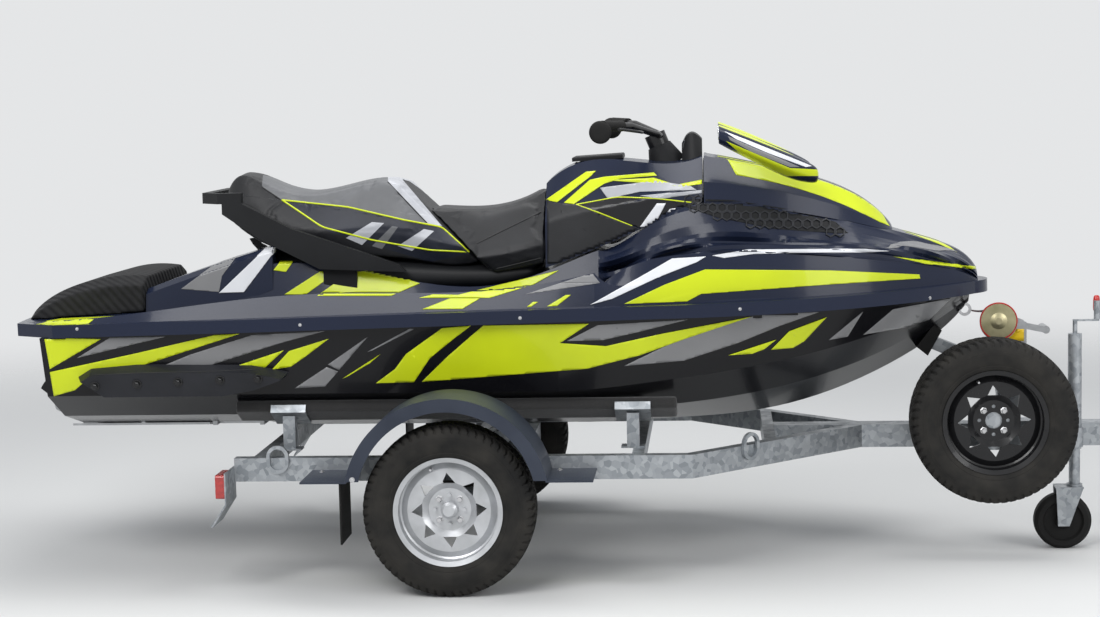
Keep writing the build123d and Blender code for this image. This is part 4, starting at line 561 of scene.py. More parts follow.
# Outlines of the films on top, as stations and distances to starboard in millimetres
HOOD_LIME = [
    [(930, 160), (964, 229), (1047, 222), (1144, 211), (1221, 200), (1308, 182), (1396, 157), (1467, 129),
     (1503, 106), (1474, 52), (1400, 85), (1300, 106), (1200, 118), (1080, 122), (990, 136)],
    [(900, 62), (1060, 66), (1230, 84), (1060, 90), (900, 84)],
]
HOOD_GREY = [[(960, 0), (1260, 0), (1420, 40), (1300, 46), (1100, 30), (960, 14)]]
STERN_LIME = [
    [(-1490, 590), (-1400, 424), (-1128, 424), (-1010, 330), (-950, 330), (-1060, 450), (-1230, 520),
     (-1290, 590)],
]
NOSE_GREY = [[(1470, 315), (1510, 278), (1600, 220), (1690, 122), (1745, 62), (1683, 96), (1600, 130),
              (1533, 180)]]
BOW_LIME = [[(1560, 52), (1640, 40), (1740, 70), (1700, 84), (1620, 92)]]
CREST_GREY = [[(455, 470), (620, 500), (760, 500), (640, 455), (520, 430)]]
MAT_EDGE = [(-1085, 292), (-700, 280), (-200, 285), (250, 305), (425, 345), (425, 425), (250, 440),
            (-700, 442), (-1085, 400)]
MAT_JOINTS = (-1085.0, -820.0, -480.0, -140.0, 180.0, 425.0)
MAT_GAP = 14.0

# Outline of the gauge's display, as distances to starboard and heights in millimetres
GAUGE_DISPLAY = [[(0, 1432), (62, 1432), (70, 1440), (70, 1474), (56, 1484), (0, 1486)]]

DECK_SIDE = ["deck", "rub_rail", "rear_cover"]
CONSOLE_SIDE = ["console", "dash"]
CREST_STEP = 1.25
CONSOLE_STEP = 2.5


def mat_outlines():
    """The footwell mat's outline, split at its joints."""
    outlines = []
    for back, front in zip(MAT_JOINTS, MAT_JOINTS[1:]):
        strip = bmesh.new()
        strip.faces.new([strip.verts.new((x, y, 0.0)) for x, y in MAT_EDGE])
        for at, way in ((back + MAT_GAP / 2, -1.0), (front - MAT_GAP / 2, 1.0)):
            everything = strip.verts[:] + strip.edges[:] + strip.faces[:]
            bmesh.ops.bisect_plane(strip, geom=everything, plane_co=(at, 0, 0), plane_no=(way, 0, 0),
                                   clear_outer=True)
        outlines.append([(v.co.x, v.co.y) for v in strip.faces[:][0].verts])
        strip.free()
    return outlines


livery("hull_grey", ROOT, grey_film, ["hull"], HULL_GREY)
livery("hull_lime", ROOT, lime_film, ["hull"], HULL_LIME, layer=2)
livery("deck_grey", ROOT, grey_film, DECK_SIDE, DECK_GREY, step=CREST_STEP)
livery("deck_lime", ROOT, lime_film, DECK_SIDE, DECK_LIME, layer=2, step=CREST_STEP)
livery("deck_white", ROOT, white_film, DECK_SIDE, DECK_WHITE, layer=3, step=CREST_STEP)
livery("console_black", ROOT, black_film, CONSOLE_SIDE, CONSOLE_BLACK, step=CONSOLE_STEP)
livery("seat_flank", ROOT, black_vinyl, CONSOLE_SIDE, SEAT_FLANK, layer=2, step=CONSOLE_STEP, thick=0.003)
livery("console_grey", ROOT, silver_film, CONSOLE_SIDE, CONSOLE_GREY, layer=2, step=CONSOLE_STEP)
livery("console_lime", ROOT, lime_film, CONSOLE_SIDE, CONSOLE_LIME, layer=2, step=CONSOLE_STEP)
livery("console_white", ROOT, white_film, CONSOLE_SIDE, CONSOLE_WHITE, layer=3, step=CONSOLE_STEP)
livery("hood_lime", HOOD, lime_film, ["hood"], HOOD_LIME, step=10.0, view="top")
livery("hood_top_grey", HOOD, grey_film, ["hood"], HOOD_GREY, step=20.0, view="top")
livery("stern_lime", ROOT, lime_film, ["deck", "rub_rail"], STERN_LIME, step=15.0, view="top")
livery("nose_grey", ROOT, grey_film, ["deck"], NOSE_GREY, step=8.0, view="top")
livery("bow_top_lime", ROOT, lime_film, ["deck"], BOW_LIME, step=12.0, view="top")
# White film along the crest: a painted highlight, not print.
livery("crest_painted_highlight", ROOT, white_film, ["deck"], CREST_HIGHLIGHT, step=1.5)
livery("crest_grey", ROOT, grey_film, ["deck"], CREST_GREY, step=12.0, view="top")
livery("gauge_display", ROOT, gauge_glass, ["dash"], GAUGE_DISPLAY, step=8.0, view="rear")
livery("footwell_mats", ROOT, mat_foam, ["deck"], mat_outlines(), step=30.0, thick=0.005, view="top")
livery("winch_sticker", ROOT, yellow_film, ["winch"], WINCH_STICKER, step=4.0)
livery("hood_vents_panel", HOOD, black_plastic, ["hood"], [VENT_EDGE], step=CONSOLE_STEP)
livery("deck_vents_panel", ROOT, black_plastic, ["deck", "console"], [VENT_EDGE], step=CONSOLE_STEP)


# Vents: a honeycomb of ribs over the black panel below the hood's edge
VENT_MIDDLE = (755.0, 216.0)
VENT_ROWS = range(-8, 9)
VENT_COLUMNS = range(-12, 13)
VENT_PITCH = 9.4
CELL_OUT = 5.3
CELL_IN = 4.1
VENT_RISE = 0.005


def cell_ring(x, y, radius, names):
    """Corners of a six-sided cell laid on CAD nodes, or fewer where it leaves them."""
    ring = []
    for k in range(6):
        angle = math.radians(60 * k + 30)
        way = pixel_ray(x + radius * math.cos(angle), y + radius * math.sin(angle))
        place, normal, face, _ = outside.ray_cast(CAMERA_AT, way)
        if place is None or outside_owner[face] not in names:
            break
        ring.append(place + against(normal, way) * VENT_RISE)
    return ring


def honeycomb(name, body, names):
    """Six-sided ribs inside the vents' edge, mirrored to port."""
    made = bmesh.new()
    for row in VENT_ROWS:
        for column in VENT_COLUMNS:
            x = VENT_MIDDLE[0] + column * VENT_PITCH + (row % 2) * VENT_PITCH / 2
            y = VENT_MIDDLE[1] + row * VENT_PITCH * math.sin(math.pi / 3)
            if not inside(VENT_EDGE, x, y):
                continue
            rings = [cell_ring(x, y, radius, names) for radius in (CELL_OUT, CELL_IN)]
            if any(len(ring) < 6 for ring in rings):
                continue
            for side in MIRRORED:
                skin(made, [[made.verts.new(flip(v, side)) for v in ring] for ring in rings])
    thicken(link(name, made, body, vent_ribs, smooth=False), VENT_RISE)


honeycomb("deck_vents_ribs", ROOT, ["deck", "console"])


# Seats, mats and carpets: padded forms grown from their CAD solids
CLOTH_FRAMES = 20
PAD_PRESSURE = 4.0
PAD_SWELL = 0.006


def evaluated(piece):
    """Mesh of a piece with its modifiers on."""
    graph = bpy.context.evaluated_depsgraph_get()
    return bpy.data.meshes.new_from_object(piece.evaluated_get(graph), depsgraph=graph)


def apply_all(piece):
    """Bake a piece's modifiers into its mesh."""
    baked = evaluated(piece)
    old = piece.data
    piece.modifiers.clear()
    piece.data = baked
    bpy.data.meshes.remove(old)


def remeshed(name, node, voxel, shrink, rounds):
    """Copy of a CAD solid with even faces and rounded edges."""
    piece = placed(name, nodes[node].data.copy())
    piece.data.materials.clear()
    weld = piece.modifiers.new("weld", "WELD")
    weld.merge_threshold = 0.0002
    grid = piece.modifiers.new("grid", "REMESH")
    grid.mode = "VOXEL"
    grid.voxel_size = voxel
    inset = piece.modifiers.new("inset", "DISPLACE")
    inset.strength = -shrink
    inset.mid_level = 0.0
    soften = piece.modifiers.new("soften", "SMOOTH")
    soften.factor = 0.5
    soften.iterations = rounds
    apply_all(piece)
    return piece


def inflate(piece):
    """Swell a pad by cloth simulation, with no point moved further than the cap."""
    start = [v.co.copy() for v in piece.data.vertices]
    cloth = piece.modifiers.new("cloth", "CLOTH")
    cloth.settings.use_pressure = True
    cloth.settings.uniform_pressure_force = PAD_PRESSURE
    cloth.settings.effector_weights.gravity = 0.0
    cloth.settings.quality = 4
    cloth.point_cache.frame_end = CLOTH_FRAMES
    for step in range(1, CLOTH_FRAMES + 1):
        scene.frame_set(step)
    swollen = evaluated(piece)
    piece.modifiers.clear()
    for vert, old, new in zip(piece.data.vertices, start, swollen.vertices):
        move = new.co - old
        if move.length > PAD_SWELL:
            move *= PAD_SWELL / move.length
        vert.co = old + move
    bpy.data.meshes.remove(swollen)
    scene.frame_set(1)


def pad(name, node, fill, voxel, shrink, rounds, *materials, swell=False):
    """Padded piece that takes the place of a CAD solid."""
    piece = remeshed(name, node, voxel, shrink, rounds)
    if swell:
        inflate(piece)
    for material in materials:
        piece.data.materials.append(material)
    piece.data.shade_smooth()
    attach(piece, ROOT)
    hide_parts(node)
    return piece


def paint(piece, slot, outline):
    """Give a material slot to the faces inside an outline in pixels, cut clean, on both sides."""
    made = bmesh.new()
    made.from_mesh(piece.data)
    for side in MIRRORED:
        for (ax, ay), (bx, by) in zip(outline, outline[1:] + outline[:1]):
            normal = flip(pixel_ray(ax, ay).cross(pixel_ray(bx, by)), side)
            reach = [f for f in made.faces if f.calc_center_median().y * side <= 0.0]
            parts = set(reach)
            for face in reach:
                parts.update(face.verts)
                parts.update(face.edges)
            bmesh.ops.bisect_plane(made, geom=list(parts), plane_co=flip(CAMERA_AT, side), plane_no=normal)
    for face in made.faces:
        middle = face.calc_center_median()
        if inside(outline, *pixel_of(Vector((middle.x, -abs(middle.y), middle.z)))):
            face.material_index = slot
    made.to_mesh(piece.data)
    made.free()


def cord_curve(name, radius):
    """Empty curve with a round section and closed ends."""
    data = bpy.data.curves.new(name, "CURVE")
    data.dimensions = "3D"
    data.bevel_depth = radius
    data.bevel_resolution = 3
    data.use_fill_caps = True
    return data


def link_curve(name, data, body, colour):
    """Object from a finished curve, riding on a body."""
    data.materials.append(colour)
    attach(placed(name, data), body)


def piping(name, body, colour, surface, runs, radius):
    """Round cords sewn along lines in pixels, laid on a surface and mirrored to port."""
    data = cord_curve(name, radius)
    for run in runs:
        points = []
        for (ax, ay), (bx, by) in zip(run, run[1:]):
            count = max(2, int(math.hypot(bx - ax, by - ay) / FILM_STEP))
            for i in range(count):
                points.append((ax + (bx - ax) * i / count, ay + (by - ay) * i / count))
        points.append(run[-1])
        hits = [surface.ray_cast(CAMERA_AT, pixel_ray(x, y))[0] for x, y in points]
        laid = [place for place in hits if place is not None]
        for _ in range(2):
            laid = laid[:1] + [(a + b * 2 + c) / 4 for a, b, c in zip(laid, laid[1:], laid[2:])] + laid[-1:]
        if len(laid) < 3:
            continue
        for side in MIRRORED:
            spline = data.splines.new("POLY")
            spline.points.add(len(laid) - 1)
            for point, place in zip(spline.points, laid):
                point.co = (*flip(place, side), 1.0)
    link_curve(name, data, body, colour)


def tree_of(piece):
    """Ray-casting tree over a finished piece."""
    corners = [v.co.copy() for v in piece.data.vertices]
    return BVHTree.FromPolygons(corners, [list(face.vertices) for face in piece.data.polygons])


# Patches and piping of the seats, in pixels of the photograph. Slots: black, grey, white and navy vinyl.
GREY_SLOT, WHITE_SLOT, NAVY_SLOT = 1, 2, 3
SEAT_PATCHES = [
    (NAVY_SLOT, [(282, 200), (348, 207), (404, 220), (442, 226), (471, 253), (430, 262), (330, 232),
                 (319, 225)]),
    (GREY_SLOT, [(268, 120), (400, 120), (402, 180), (442, 226), (404, 220), (348, 207), (282, 200),
                 (262, 186)]),
    (WHITE_SLOT, [(388, 120), (403, 120), (403, 180), (442, 226), (427, 223), (388, 181)]),
    (WHITE_SLOT, [(346, 238), (372, 222), (384, 223), (362, 245)]),
    (GREY_SLOT, [(372, 246), (392, 226), (398, 227), (382, 249)]),
    (WHITE_SLOT, [(398, 246), (424, 229), (434, 231), (412, 251)]),
]
REAR_PIPING = [
    [(282, 200), (348, 207), (404, 220), (442, 227), (469, 252)],
    [(282, 200), (300, 212), (322, 227), (372, 240), (430, 250), (469, 252)],
]
REAR_SEAMS = [
    [(262, 187), (280, 199)],
    [(388, 182), (427, 223)],
]
FRONT_SEAMS = [
    [(541, 212), (500, 232), (460, 252), (428, 268)],
    [(541, 258), (500, 268), (450, 275)],
]
PIPING_R = 0.0032
SEAM_R = 0.0022

rear_pad = pad("rear_seat_pad", "seat_rear", 0.8, 0.0065, 0.004, 6, black_vinyl, grey_vinyl, white_vinyl,
               navy_vinyl, swell=True)
for slot, outline in SEAT_PATCHES:
    paint(rear_pad, slot, outline)
rear_tree = tree_of(rear_pad)
piping("rear_seat_piping", ROOT, lime_film, rear_tree, REAR_PIPING, PIPING_R)
piping("rear_seat_seams", ROOT, seam, rear_tree, REAR_SEAMS, SEAM_R)
front_pad = pad("front_seat_pad", "seat_front", 0.8, 0.0065, 0.004, 6, black_vinyl, swell=True)
piping("front_seat_seams", ROOT, seam, tree_of(front_pad), FRONT_SEAMS, SEAM_R)
pad("stern_deck_mat", "stern_mat", 1.0, 0.007, 0.002, 3, mat_foam)
pad("bunk_carpets", "bunks", 0.9, 0.007, 0.001, 3, carpet)


# Mirrors: wing-shaped housings with a glass at the back
MIRROR_ROWS = [
    # station, middle, half width, inner foot, outer edge, top
    (0.905, 0.330, 0.095, 1.470, 1.474, 1.534),
    (0.935, 0.328, 0.094, 1.446, 1.462, 1.524),
    (1.020, 0.316, 0.084, 1.400, 1.422, 1.490),
    (1.140, 0.286, 0.060, 1.330, 1.368, 1.434),
    (1.225, 0.254, 0.036, 1.316, 1.340, 1.392),
    (1.250, 0.244, 0.022, 1.322, 1.338, 1.372),
]
MIRROR_BACK = MIRROR_ROWS[0][0] + AXLE
MIRROR_CREASE = 0.85
# Films on the housings, in pixels; the white strip below the lime ridge is a painted highlight. Slots: navy,
# black, lime, white and grey.
LIME_CAP, HIGHLIGHT_SLOT, GREY_CAP = 2, 3, 4
MIRROR_PATCHES = [
    (LIME_CAP, [(716, 120), (735, 128), (768, 141), (800, 155), (830, 165), (830, 168), (790, 154),
                (752, 139), (716, 125)]),
    # Painted highlight: a white strip on the housing's upper shoulder, below the lime ridge.
    (HIGHLIGHT_SLOT, [(724, 131), (745, 139), (790, 157), (812, 166), (806, 167), (768, 153), (736, 139)]),
    (GREY_CAP, [(728, 136), (752, 147), (786, 161), (800, 167), (790, 167), (752, 152), (730, 140)]),
    (LIME_CAP, [(726, 141), (754, 153), (790, 168), (826, 170), (826, 176), (786, 176), (745, 158)]),
]
GLASS_AT = (0.330, 1.502)
GLASS_HALF = (0.076, 0.0225)
GLASS_SQUARENESS = 0.6
GLASS_CORNERS = 40


def mirror_ring(middle, half, foot, edge, top):
    """Section of a housing: upright inner side, rounded top and a sill that rises outward."""
    return [
        (middle - half, foot), (middle - half, foot + (top - foot) * 0.55),
        (middle - half * 0.7, top - 0.008), (middle, top), (middle + half * 0.7, top - 0.004),
        (middle + half, top - (top - edge) * 0.35), (middle + half, edge + 0.006),
        (middle + half * 0.6, edge - 0.006), (middle, (foot + edge) / 2 - 0.006),
    ]


def mirror_shells():
    """Both housings as lofted cages, closed at both ends and subdivided."""
    made = bmesh.new()
    for side in SIDES:
        rings = []
        for station, *section in MIRROR_ROWS:
            rings.append([made.verts.new((station + AXLE, side * y, z)) for y, z in mirror_ring(*section)])
        skin(made, rings, capped=True)
    crease = made.edges.layers.float.new("crease_edge")
    for edge in made.edges:
        if all(abs(v.co.x - MIRROR_BACK) < 1e-6 for v in edge.verts):
            edge[crease] = MIRROR_CREASE
    piece = link("mirror_shells", made, HOOD)
    subdivide(piece, 4)
    apply_all(piece)
    for material in (navy, black_plastic, lime_film, white_film, grey_film):
        piece.data.materials.append(material)
    piece.data.shade_smooth()
    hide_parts("mirrors")
    for slot, outline in MIRROR_PATCHES:
        paint(piece, slot, outline)


def mirror_glasses():
    """A rounded pane set in the back of each housing."""
    made = bmesh.new()
    for side in SIDES:
        ring = []
        for k in range(GLASS_CORNERS):
            angle = 2 * math.pi * k / GLASS_CORNERS
            wide = abs(math.cos(angle)) ** GLASS_SQUARENESS * math.copysign(1.0, math.cos(angle))
            high = abs(math.sin(angle)) ** GLASS_SQUARENESS * math.copysign(1.0, math.sin(angle))
            ring.append(made.verts.new((MIRROR_BACK - 0.0015, side * (GLASS_AT[0] + GLASS_HALF[0] * wide),
                                        GLASS_AT[1] + GLASS_HALF[1] * high)))
        made.faces.new(ring)
    thicken(link("mirror_glasses", made, HOOD, mirror_face), 0.003, 1.0)


mirror_shells()
mirror_glasses()


# Tyres with a cut tread
TYRE_TURNS = 600
TYRE_OUTSIDE = [
    # distance from the middle, radius
    (0.06, 0.176), (0.07, 0.18), (0.0765, 0.188), (0.0805, 0.198), (0.08, 0.2), (0.0815, 0.202),
    (0.085, 0.214), (0.0868, 0.228), (0.0864, 0.24), (0.0856, 0.2404), (0.0846, 0.248), (0.0835, 0.2484),
    (0.0815, 0.258), (0.079, 0.266), (0.076, 0.272), (0.0735, 0.2765), (0.07, 0.2805), (0.065, 0.2832),
    (0.059, 0.2848), (0.053, 0.2858), (0.0485, 0.2863), (0.047, 0.2864), (0.042, 0.2867), (0.0405, 0.2868),
    (0.035, 0.287), (0.029, 0.2872), (0.024, 0.2873), (0.019, 0.2874), (0.0175, 0.2874), (0.012, 0.2875),
    (0.0105, 0.2875), (0.005, 0.2875), (0.0, 0.2875),
]
TYRE_INSIDE = [(-0.052, 0.178), (-0.03, 0.205), (0.0, 0.215), (0.03, 0.205), (0.052, 0.178)]
TREAD_FROM_R = 0.262
GROOVES = ((0.0120, 0.0175), (0.0420, 0.0470))
TREAD_DEEP = 0.0075
TREAD_BLOCKS = 60
# The tread has a middle row, and two rows on each side of it.
ROW_EDGES = (0.011, 0.0415)
ROW_LEAN = (0.0, 36.0, 16.0)
ROW_GAP = (0.30, 0.26, 0.32)
ROW_SHIFT = 0.33
# The cuts grow shallow over the shoulder, in two steps.
SHOULDER_AT = 0.0765
SHOULDER_SHARE = 0.45
SHOULDER_R = 0.270
SHOULDER_R_SHARE = 0.8
SHARP_ANGLE = math.radians(32)


def tread_cut(turn, across, radius):
    """Depth of the tread pattern at an angle in turns and a place across the tread."""
    out = abs(across)
    if radius < TREAD_FROM_R:
        return 0.0
    if any(low <= out <= high for low, high in GROOVES):
        return TREAD_DEEP
    row = sum(out >= edge for edge in ROW_EDGES)
    phase = turn * TREAD_BLOCKS + out * ROW_LEAN[row] + (0.5 if across > 0 else 0.0) + row * ROW_SHIFT
    depth = TREAD_DEEP if phase % 1.0 < ROW_GAP[row] else 0.0
    if out > SHOULDER_AT:
        depth *= SHOULDER_SHARE
    if radius < SHOULDER_R:
        depth *= SHOULDER_R_SHARE
    return depth


def tyre(name, node, body):
    """Tyre turned about its axle with blocks cut by grooves and sipes."""
    hub = hub_of(node)
    made = bmesh.new()
    profile = TYRE_OUTSIDE + [(-across, radius) for across, radius in TYRE_OUTSIDE[-2::-1]] + TYRE_INSIDE
    rings = []
    for i in range(TYRE_TURNS):
        turn = i / TYRE_TURNS
        angle = 2 * math.pi * turn
        ring = []
        for across, radius in profile:
            reach = radius - tread_cut(turn, across, radius)
            ring.append(made.verts.new((hub.x + reach * math.cos(angle), hub.y + across,
                                        hub.z + reach * math.sin(angle))))
        rings.append(ring)
    skin(made, rings, endless=True)
    piece = link(name, made, body, tyre_rubber)
    piece.data.set_sharp_from_angle(angle=SHARP_ANGLE)
    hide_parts(node)


tyre("starboard_tyre", "tyre_starboard", "wheel_starboard")
tyre("port_tyre", "tyre_port", "wheel_port")
tyre("spare_tyre_cut", "spare_tyre", ROOT)


# Seat base: the moulded pan under both seats
BASE_ROWS = [
    # station, half width, bottom, top
    (-0.760, 0.120, 1.030, 1.120), (-0.600, 0.175, 0.990, 1.110), (-0.350, 0.200, 0.960, 1.090),
    (-0.100, 0.215, 0.950, 1.070), (0.120, 0.220, 0.955, 1.060), (0.288, 0.215, 0.985, 1.075),
]


def base_pan():
    """Lofted pan with rolled edges, closed at both ends."""
    made = bmesh.new()
    rings = []
    for station, half, low, high in BASE_ROWS:
        middle = low + (high - low) * 0.55
        ring = [(-half, low), (-half - 0.004, middle), (-half * 0.94, high), (half * 0.94, high),
                (half + 0.004, middle), (half, low)]
        rings.append([made.verts.new((station + AXLE, y, z)) for y, z in ring])
    skin(made, rings, capped=True)
    subdivide(link("seat_base_pan", made, ROOT, black_plastic), 3)


base_pan()


# Bulkhead: closes the gap between the console and the hood's back edge
BULKHEAD_AT = 0.8505
BULKHEAD = [(-0.245, 1.266), (-0.252, 1.310), (-0.215, 1.375), (-0.150, 1.404), (0.150, 1.404),
            (0.215, 1.375), (0.252, 1.310), (0.245, 1.266)]


def cowl_bulkhead():
    """Flat plate across the craft."""
    made = bmesh.new()
    made.faces.new([made.verts.new((BULKHEAD_AT + AXLE, y, z)) for y, z in BULKHEAD])
    thicken(link("cowl_bulkhead", made, ROOT, black_plastic, smooth=False), 0.003, 0.0)


cowl_bulkhead()


# Small hardware: turned pieces set on surfaces. Profile rows are radius and height.
WASHER = [(0.013, -0.002), (0.013, 0.0015), (0.0125, 0.0022), (0.0082, 0.0022)]
BOLT = [(0.0082, 0.0), (0.0082, 0.0075), (0.0066, 0.0086)]
NUT = [(0.0125, -0.002), (0.0125, 0.002), (0.0098, 0.003), (0.0095, 0.014), (0.0078, 0.018)]
VALVE = [(0.0055, -0.004), (0.0055, 0.004), (0.0035, 0.006), (0.0035, 0.018), (0.0042, 0.019),
         (0.0042, 0.029), (0.0036, 0.031)]
PALM_REST = [(0.021, 0.0), (0.030, 0.004), (0.037, 0.011), (0.0395, 0.019), (0.0375, 0.026), (0.030, 0.030),
             (0.016, 0.031)]
CRANK_GRIP = [(0.006, 0.0), (0.011, 0.002), (0.0125, 0.012), (0.0120, 0.040), (0.010, 0.052), (0.006, 0.056)]
WINCH_DISC = [(0.030, -0.004), (0.062, -0.004), (0.064, 0.0), (0.062, 0.002), (0.030, 0.002), (0.020, 0.006),
              (0.012, 0.008)]
WINCH_RIM = [(0.0625, -0.005), (0.0665, -0.005), (0.067, 0.0), (0.0665, 0.003), (0.0625, 0.003),
             (0.062, -0.005)]

# Places of the fasteners, edges and turned pieces, in pixels of the photograph
SPONSON_BOLTS = [(95, 386), (137, 384), (178, 382), (220, 380), (258, 378.5)]
RAIL_SCREWS = [(77, 329), (300, 325), (520, 318), (740, 309), (930, 298)]
FENDER_BOLTS = [(322, 472), (352, 480), (560, 470), (586, 468)]
SPONSON_EDGE = [[(92, 375), (140, 373), (220, 371), (262, 369)]]
CONSOLE_EDGES = [
    [(576, 204.6), (617, 197), (657, 198.5), (700, 203.5)],
    [(576, 204.6), (600, 213), (632, 226)],
]
WINCH_PIXEL = (998.6, 321.0)
CRANK_PIXEL = (1096.5, 311.0)


def ring_points(place, normal, radius, count):
    """Points of a ring about a normal."""
    one = normal.orthogonal().normalized()
    two = normal.cross(one)
    points = []
    for k in range(count):
        angle = 2 * math.pi * k / count
        points.append(place + (one * math.cos(angle) + two * math.sin(angle)) * radius)
    return points


def turned(made, place, normal, profile, count, capped=True):
    """Body turned about a normal."""
    rings = []
    for radius, height in profile:
        rings.append([made.verts.new(p) for p in ring_points(place + normal * height, normal, radius, count)])
    skin(made, rings, capped=capped)


def turned_piece(name, body, colour, profile, count, places, smooth=True, capped=True):
    """Bodies of one profile, each at a place and along a direction."""
    made = bmesh.new()
    for place, way in places:
        turned(made, place, way, profile, count, capped)
    link(name, made, body, colour, smooth=smooth)


def studs(name, colour, node, pixels, scale=1.0, corners=6):
    """Bolt heads on washers where pixels meet a node, mirrored to port."""
    tree, _ = solid_of(node)
    made = bmesh.new()
    for x, y in pixels:
        place, normal, _, _ = tree.ray_cast(CAMERA_AT, pixel_ray(x, y))
        if place is None:
            continue
        for side in MIRRORED:
            spot = flip(place, side)
            out = flip(against(normal, LOOK), side)
            turned(made, spot, out, [(r * scale, h * scale) for r, h in WASHER], 24)
            turned(made, spot, out, [(r * scale, h * scale) for r, h in BOLT], corners)
    link(name, made, ROOT, colour, smooth=False)


studs("sponson_bolts", black_metal, "sponsons", SPONSON_BOLTS, 1.3)
studs("rail_screws", steel, "rub_rail", RAIL_SCREWS, 0.45, 12)
studs("fender_bolts", steel, "fenders", FENDER_BOLTS, 0.7)
piping("sponson_edges", ROOT, seam, solid_of("sponsons")[0], SPONSON_EDGE, 0.0015)
piping("console_piping", ROOT, lime_film, solid_of("console")[0], CONSOLE_EDGES, 0.0026)


# Handlebar: palm rests at the grips' ends, and levers ahead of them
PALM_REST_AT = (0.506, 0.384, 1.5145)
PALM_REST_WAY = (-0.16, 0.02)
LEVER_R = 0.0052
LEVER_LINE = [
    # station, distance from the middle, height
    (0.628, 0.235, 1.512), (0.646, 0.262, 1.508), (0.634, 0.310, 1.512), (0.600, 0.350, 1.518),
    (0.572, 0.384, 1.523), (0.566, 0.398, 1.524),
]


def palm_rest_place(side):
    """Place and direction of the disc at a grip's outer end."""
    station, across, high = PALM_REST_AT
    back, rise = PALM_REST_WAY
    return Vector((station + AXLE, side * across, high)), Vector((back, side, rise)).normalized()


def hand_levers():
    """A bent rod ahead of each grip."""
    data = cord_curve("hand_levers", LEVER_R)
    for side in SIDES:
        spline = data.splines.new("NURBS")
        spline.points.add(len(LEVER_LINE) - 1)
        for point, (x, y, z) in zip(spline.points, LEVER_LINE):
            point.co = (x + AXLE, side * y, z, 1.0)
        spline.order_u = 3
        spline.use_endpoint_u = True
    link_curve("hand_levers", data, BAR, black_metal)


turned_piece("palm_rests", BAR, rubber, PALM_REST, 32, [palm_rest_place(side) for side in SIDES])
hand_levers()


# Wheel hardware: nuts, valve and cap on each rim
NUT_CIRCLE = 0.049
VALVE_CIRCLE = 0.150
VALVE_ANGLE = math.radians(112)
WELL_OUT = 0.4


def wheel_hardware(name, node, body, side):
    """Four nuts on a circle, and a valve with its cap."""
    hub = hub_of(node)
    out = Vector((0.0, side, 0.0))
    tree, _ = solid_of(node)
    made = bmesh.new()
    fittings = [(NUT_CIRCLE, math.pi / 4 + k * math.pi / 2, NUT, 6) for k in range(4)]
    fittings.append((VALVE_CIRCLE, VALVE_ANGLE, VALVE, 16))
    for circle, angle, profile, count in fittings:
        start = hub + Vector((circle * math.cos(angle), side * WELL_OUT, circle * math.sin(angle)))
        place, _, _, _ = tree.ray_cast(start, -out)
        if place is not None:
            turned(made, place, out, profile, count)
    link(name, made, body, steel, smooth=False)


wheel_hardware("starboard_wheel_nuts", "rim_starboard", "wheel_starboard", -1.0)
wheel_hardware("port_wheel_nuts", "rim_port", "wheel_port", 1.0)
wheel_hardware("spare_wheel_nuts", "spare_rim", ROOT, -1.0)


# Winch: side disc with a painted rim, and the strap to the bow eye
WINCH_SIDE = -0.050
STRAP_PARTS = 24
STRAP_SECTION = (-0.024, -0.022, 0.022, 0.024)
STRAP_SAG = 0.004
EYE_AT = (1.800, 0.846)
DRUM_TOP = (-0.030, 0.036)


def winch_strap(drum):
    """Taut strap from the bow eye to the drum, with a slight sag."""
    made = bmesh.new()
    rows = []
    start_x = EYE_AT[0] + AXLE
    start_z = EYE_AT[1]
    for i in range(STRAP_PARTS + 1):
        t = i / STRAP_PARTS
        x = start_x + (drum.x + DRUM_TOP[0] - start_x) * t
        z = start_z + (drum.z + DRUM_TOP[1] - start_z) * t - STRAP_SAG * math.sin(math.pi * t)
        rows.append([made.verts.new((x, y, z)) for y in STRAP_SECTION])
    skin(made, rows, closed=False)
    thicken(link("winch_webbing", made, ROOT, webbing), 0.0022)


winch_at = at_pixel(*WINCH_PIXEL, WINCH_SIDE)
winch_side = [(winch_at, Vector((0, -1, 0)))]
turned_piece("winch_side_disc", ROOT, yellow_zinc, WINCH_DISC, 48, winch_side, smooth=False)
turned_piece("winch_disc_rim", ROOT, red_paint, WINCH_RIM, 48, winch_side, smooth=False, capped=False)
winch_strap(winch_at)


# Jack: the grip that stands on its crank's end
CRANK_SIDE = -0.080
crank_end = [(at_pixel(*CRANK_PIXEL, CRANK_SIDE), Vector((0, 0, 1)))]
turned_piece("jack_crank_grip", ROOT, red_paint, CRANK_GRIP, 24, crank_end)


# Safety chain under the coupling
LINKS = 9
LINK_TOP = (2.290, 0.350)
LINK_PITCH = 0.024
LINK_HALF = 0.008
LINK_R = 0.0095
WIRE_R = 0.0028
LINK_PARTS = 28
WIRE_PARTS = 8


def chain_link(made, centre, wide):
    """One upright link: wire bent round two half circles."""
    loop = []
    for k in range(LINK_PARTS):
        angle = 2 * math.pi * k / LINK_PARTS
        stretch = LINK_HALF if math.sin(angle) > 0 else -LINK_HALF
        rise = Vector((0, 0, LINK_R * math.sin(angle) + stretch))
        loop.append(centre + wide * (LINK_R * math.cos(angle)) + rise)
    rings = []
    for k, point in enumerate(loop):
        ahead = (loop[(k + 1) % LINK_PARTS] - loop[k - 1]).normalized()
        rings.append([made.verts.new(p) for p in ring_points(point, ahead, WIRE_R, WIRE_PARTS)])
    skin(made, rings, endless=True)


def safety_chain():
    """Links that hang from the drawbar, each turned a quarter from the last."""
    made = bmesh.new()
    for i in range(LINKS):
        wide = Vector((1, 0, 0)) if i % 2 else Vector((0, 1, 0))
        chain_link(made, Vector((LINK_TOP[0] + AXLE, 0.0, LINK_TOP[1] - LINK_PITCH * i)), wide)
    link("safety_chain_links", made, ROOT, yellow_zinc)


safety_chain()


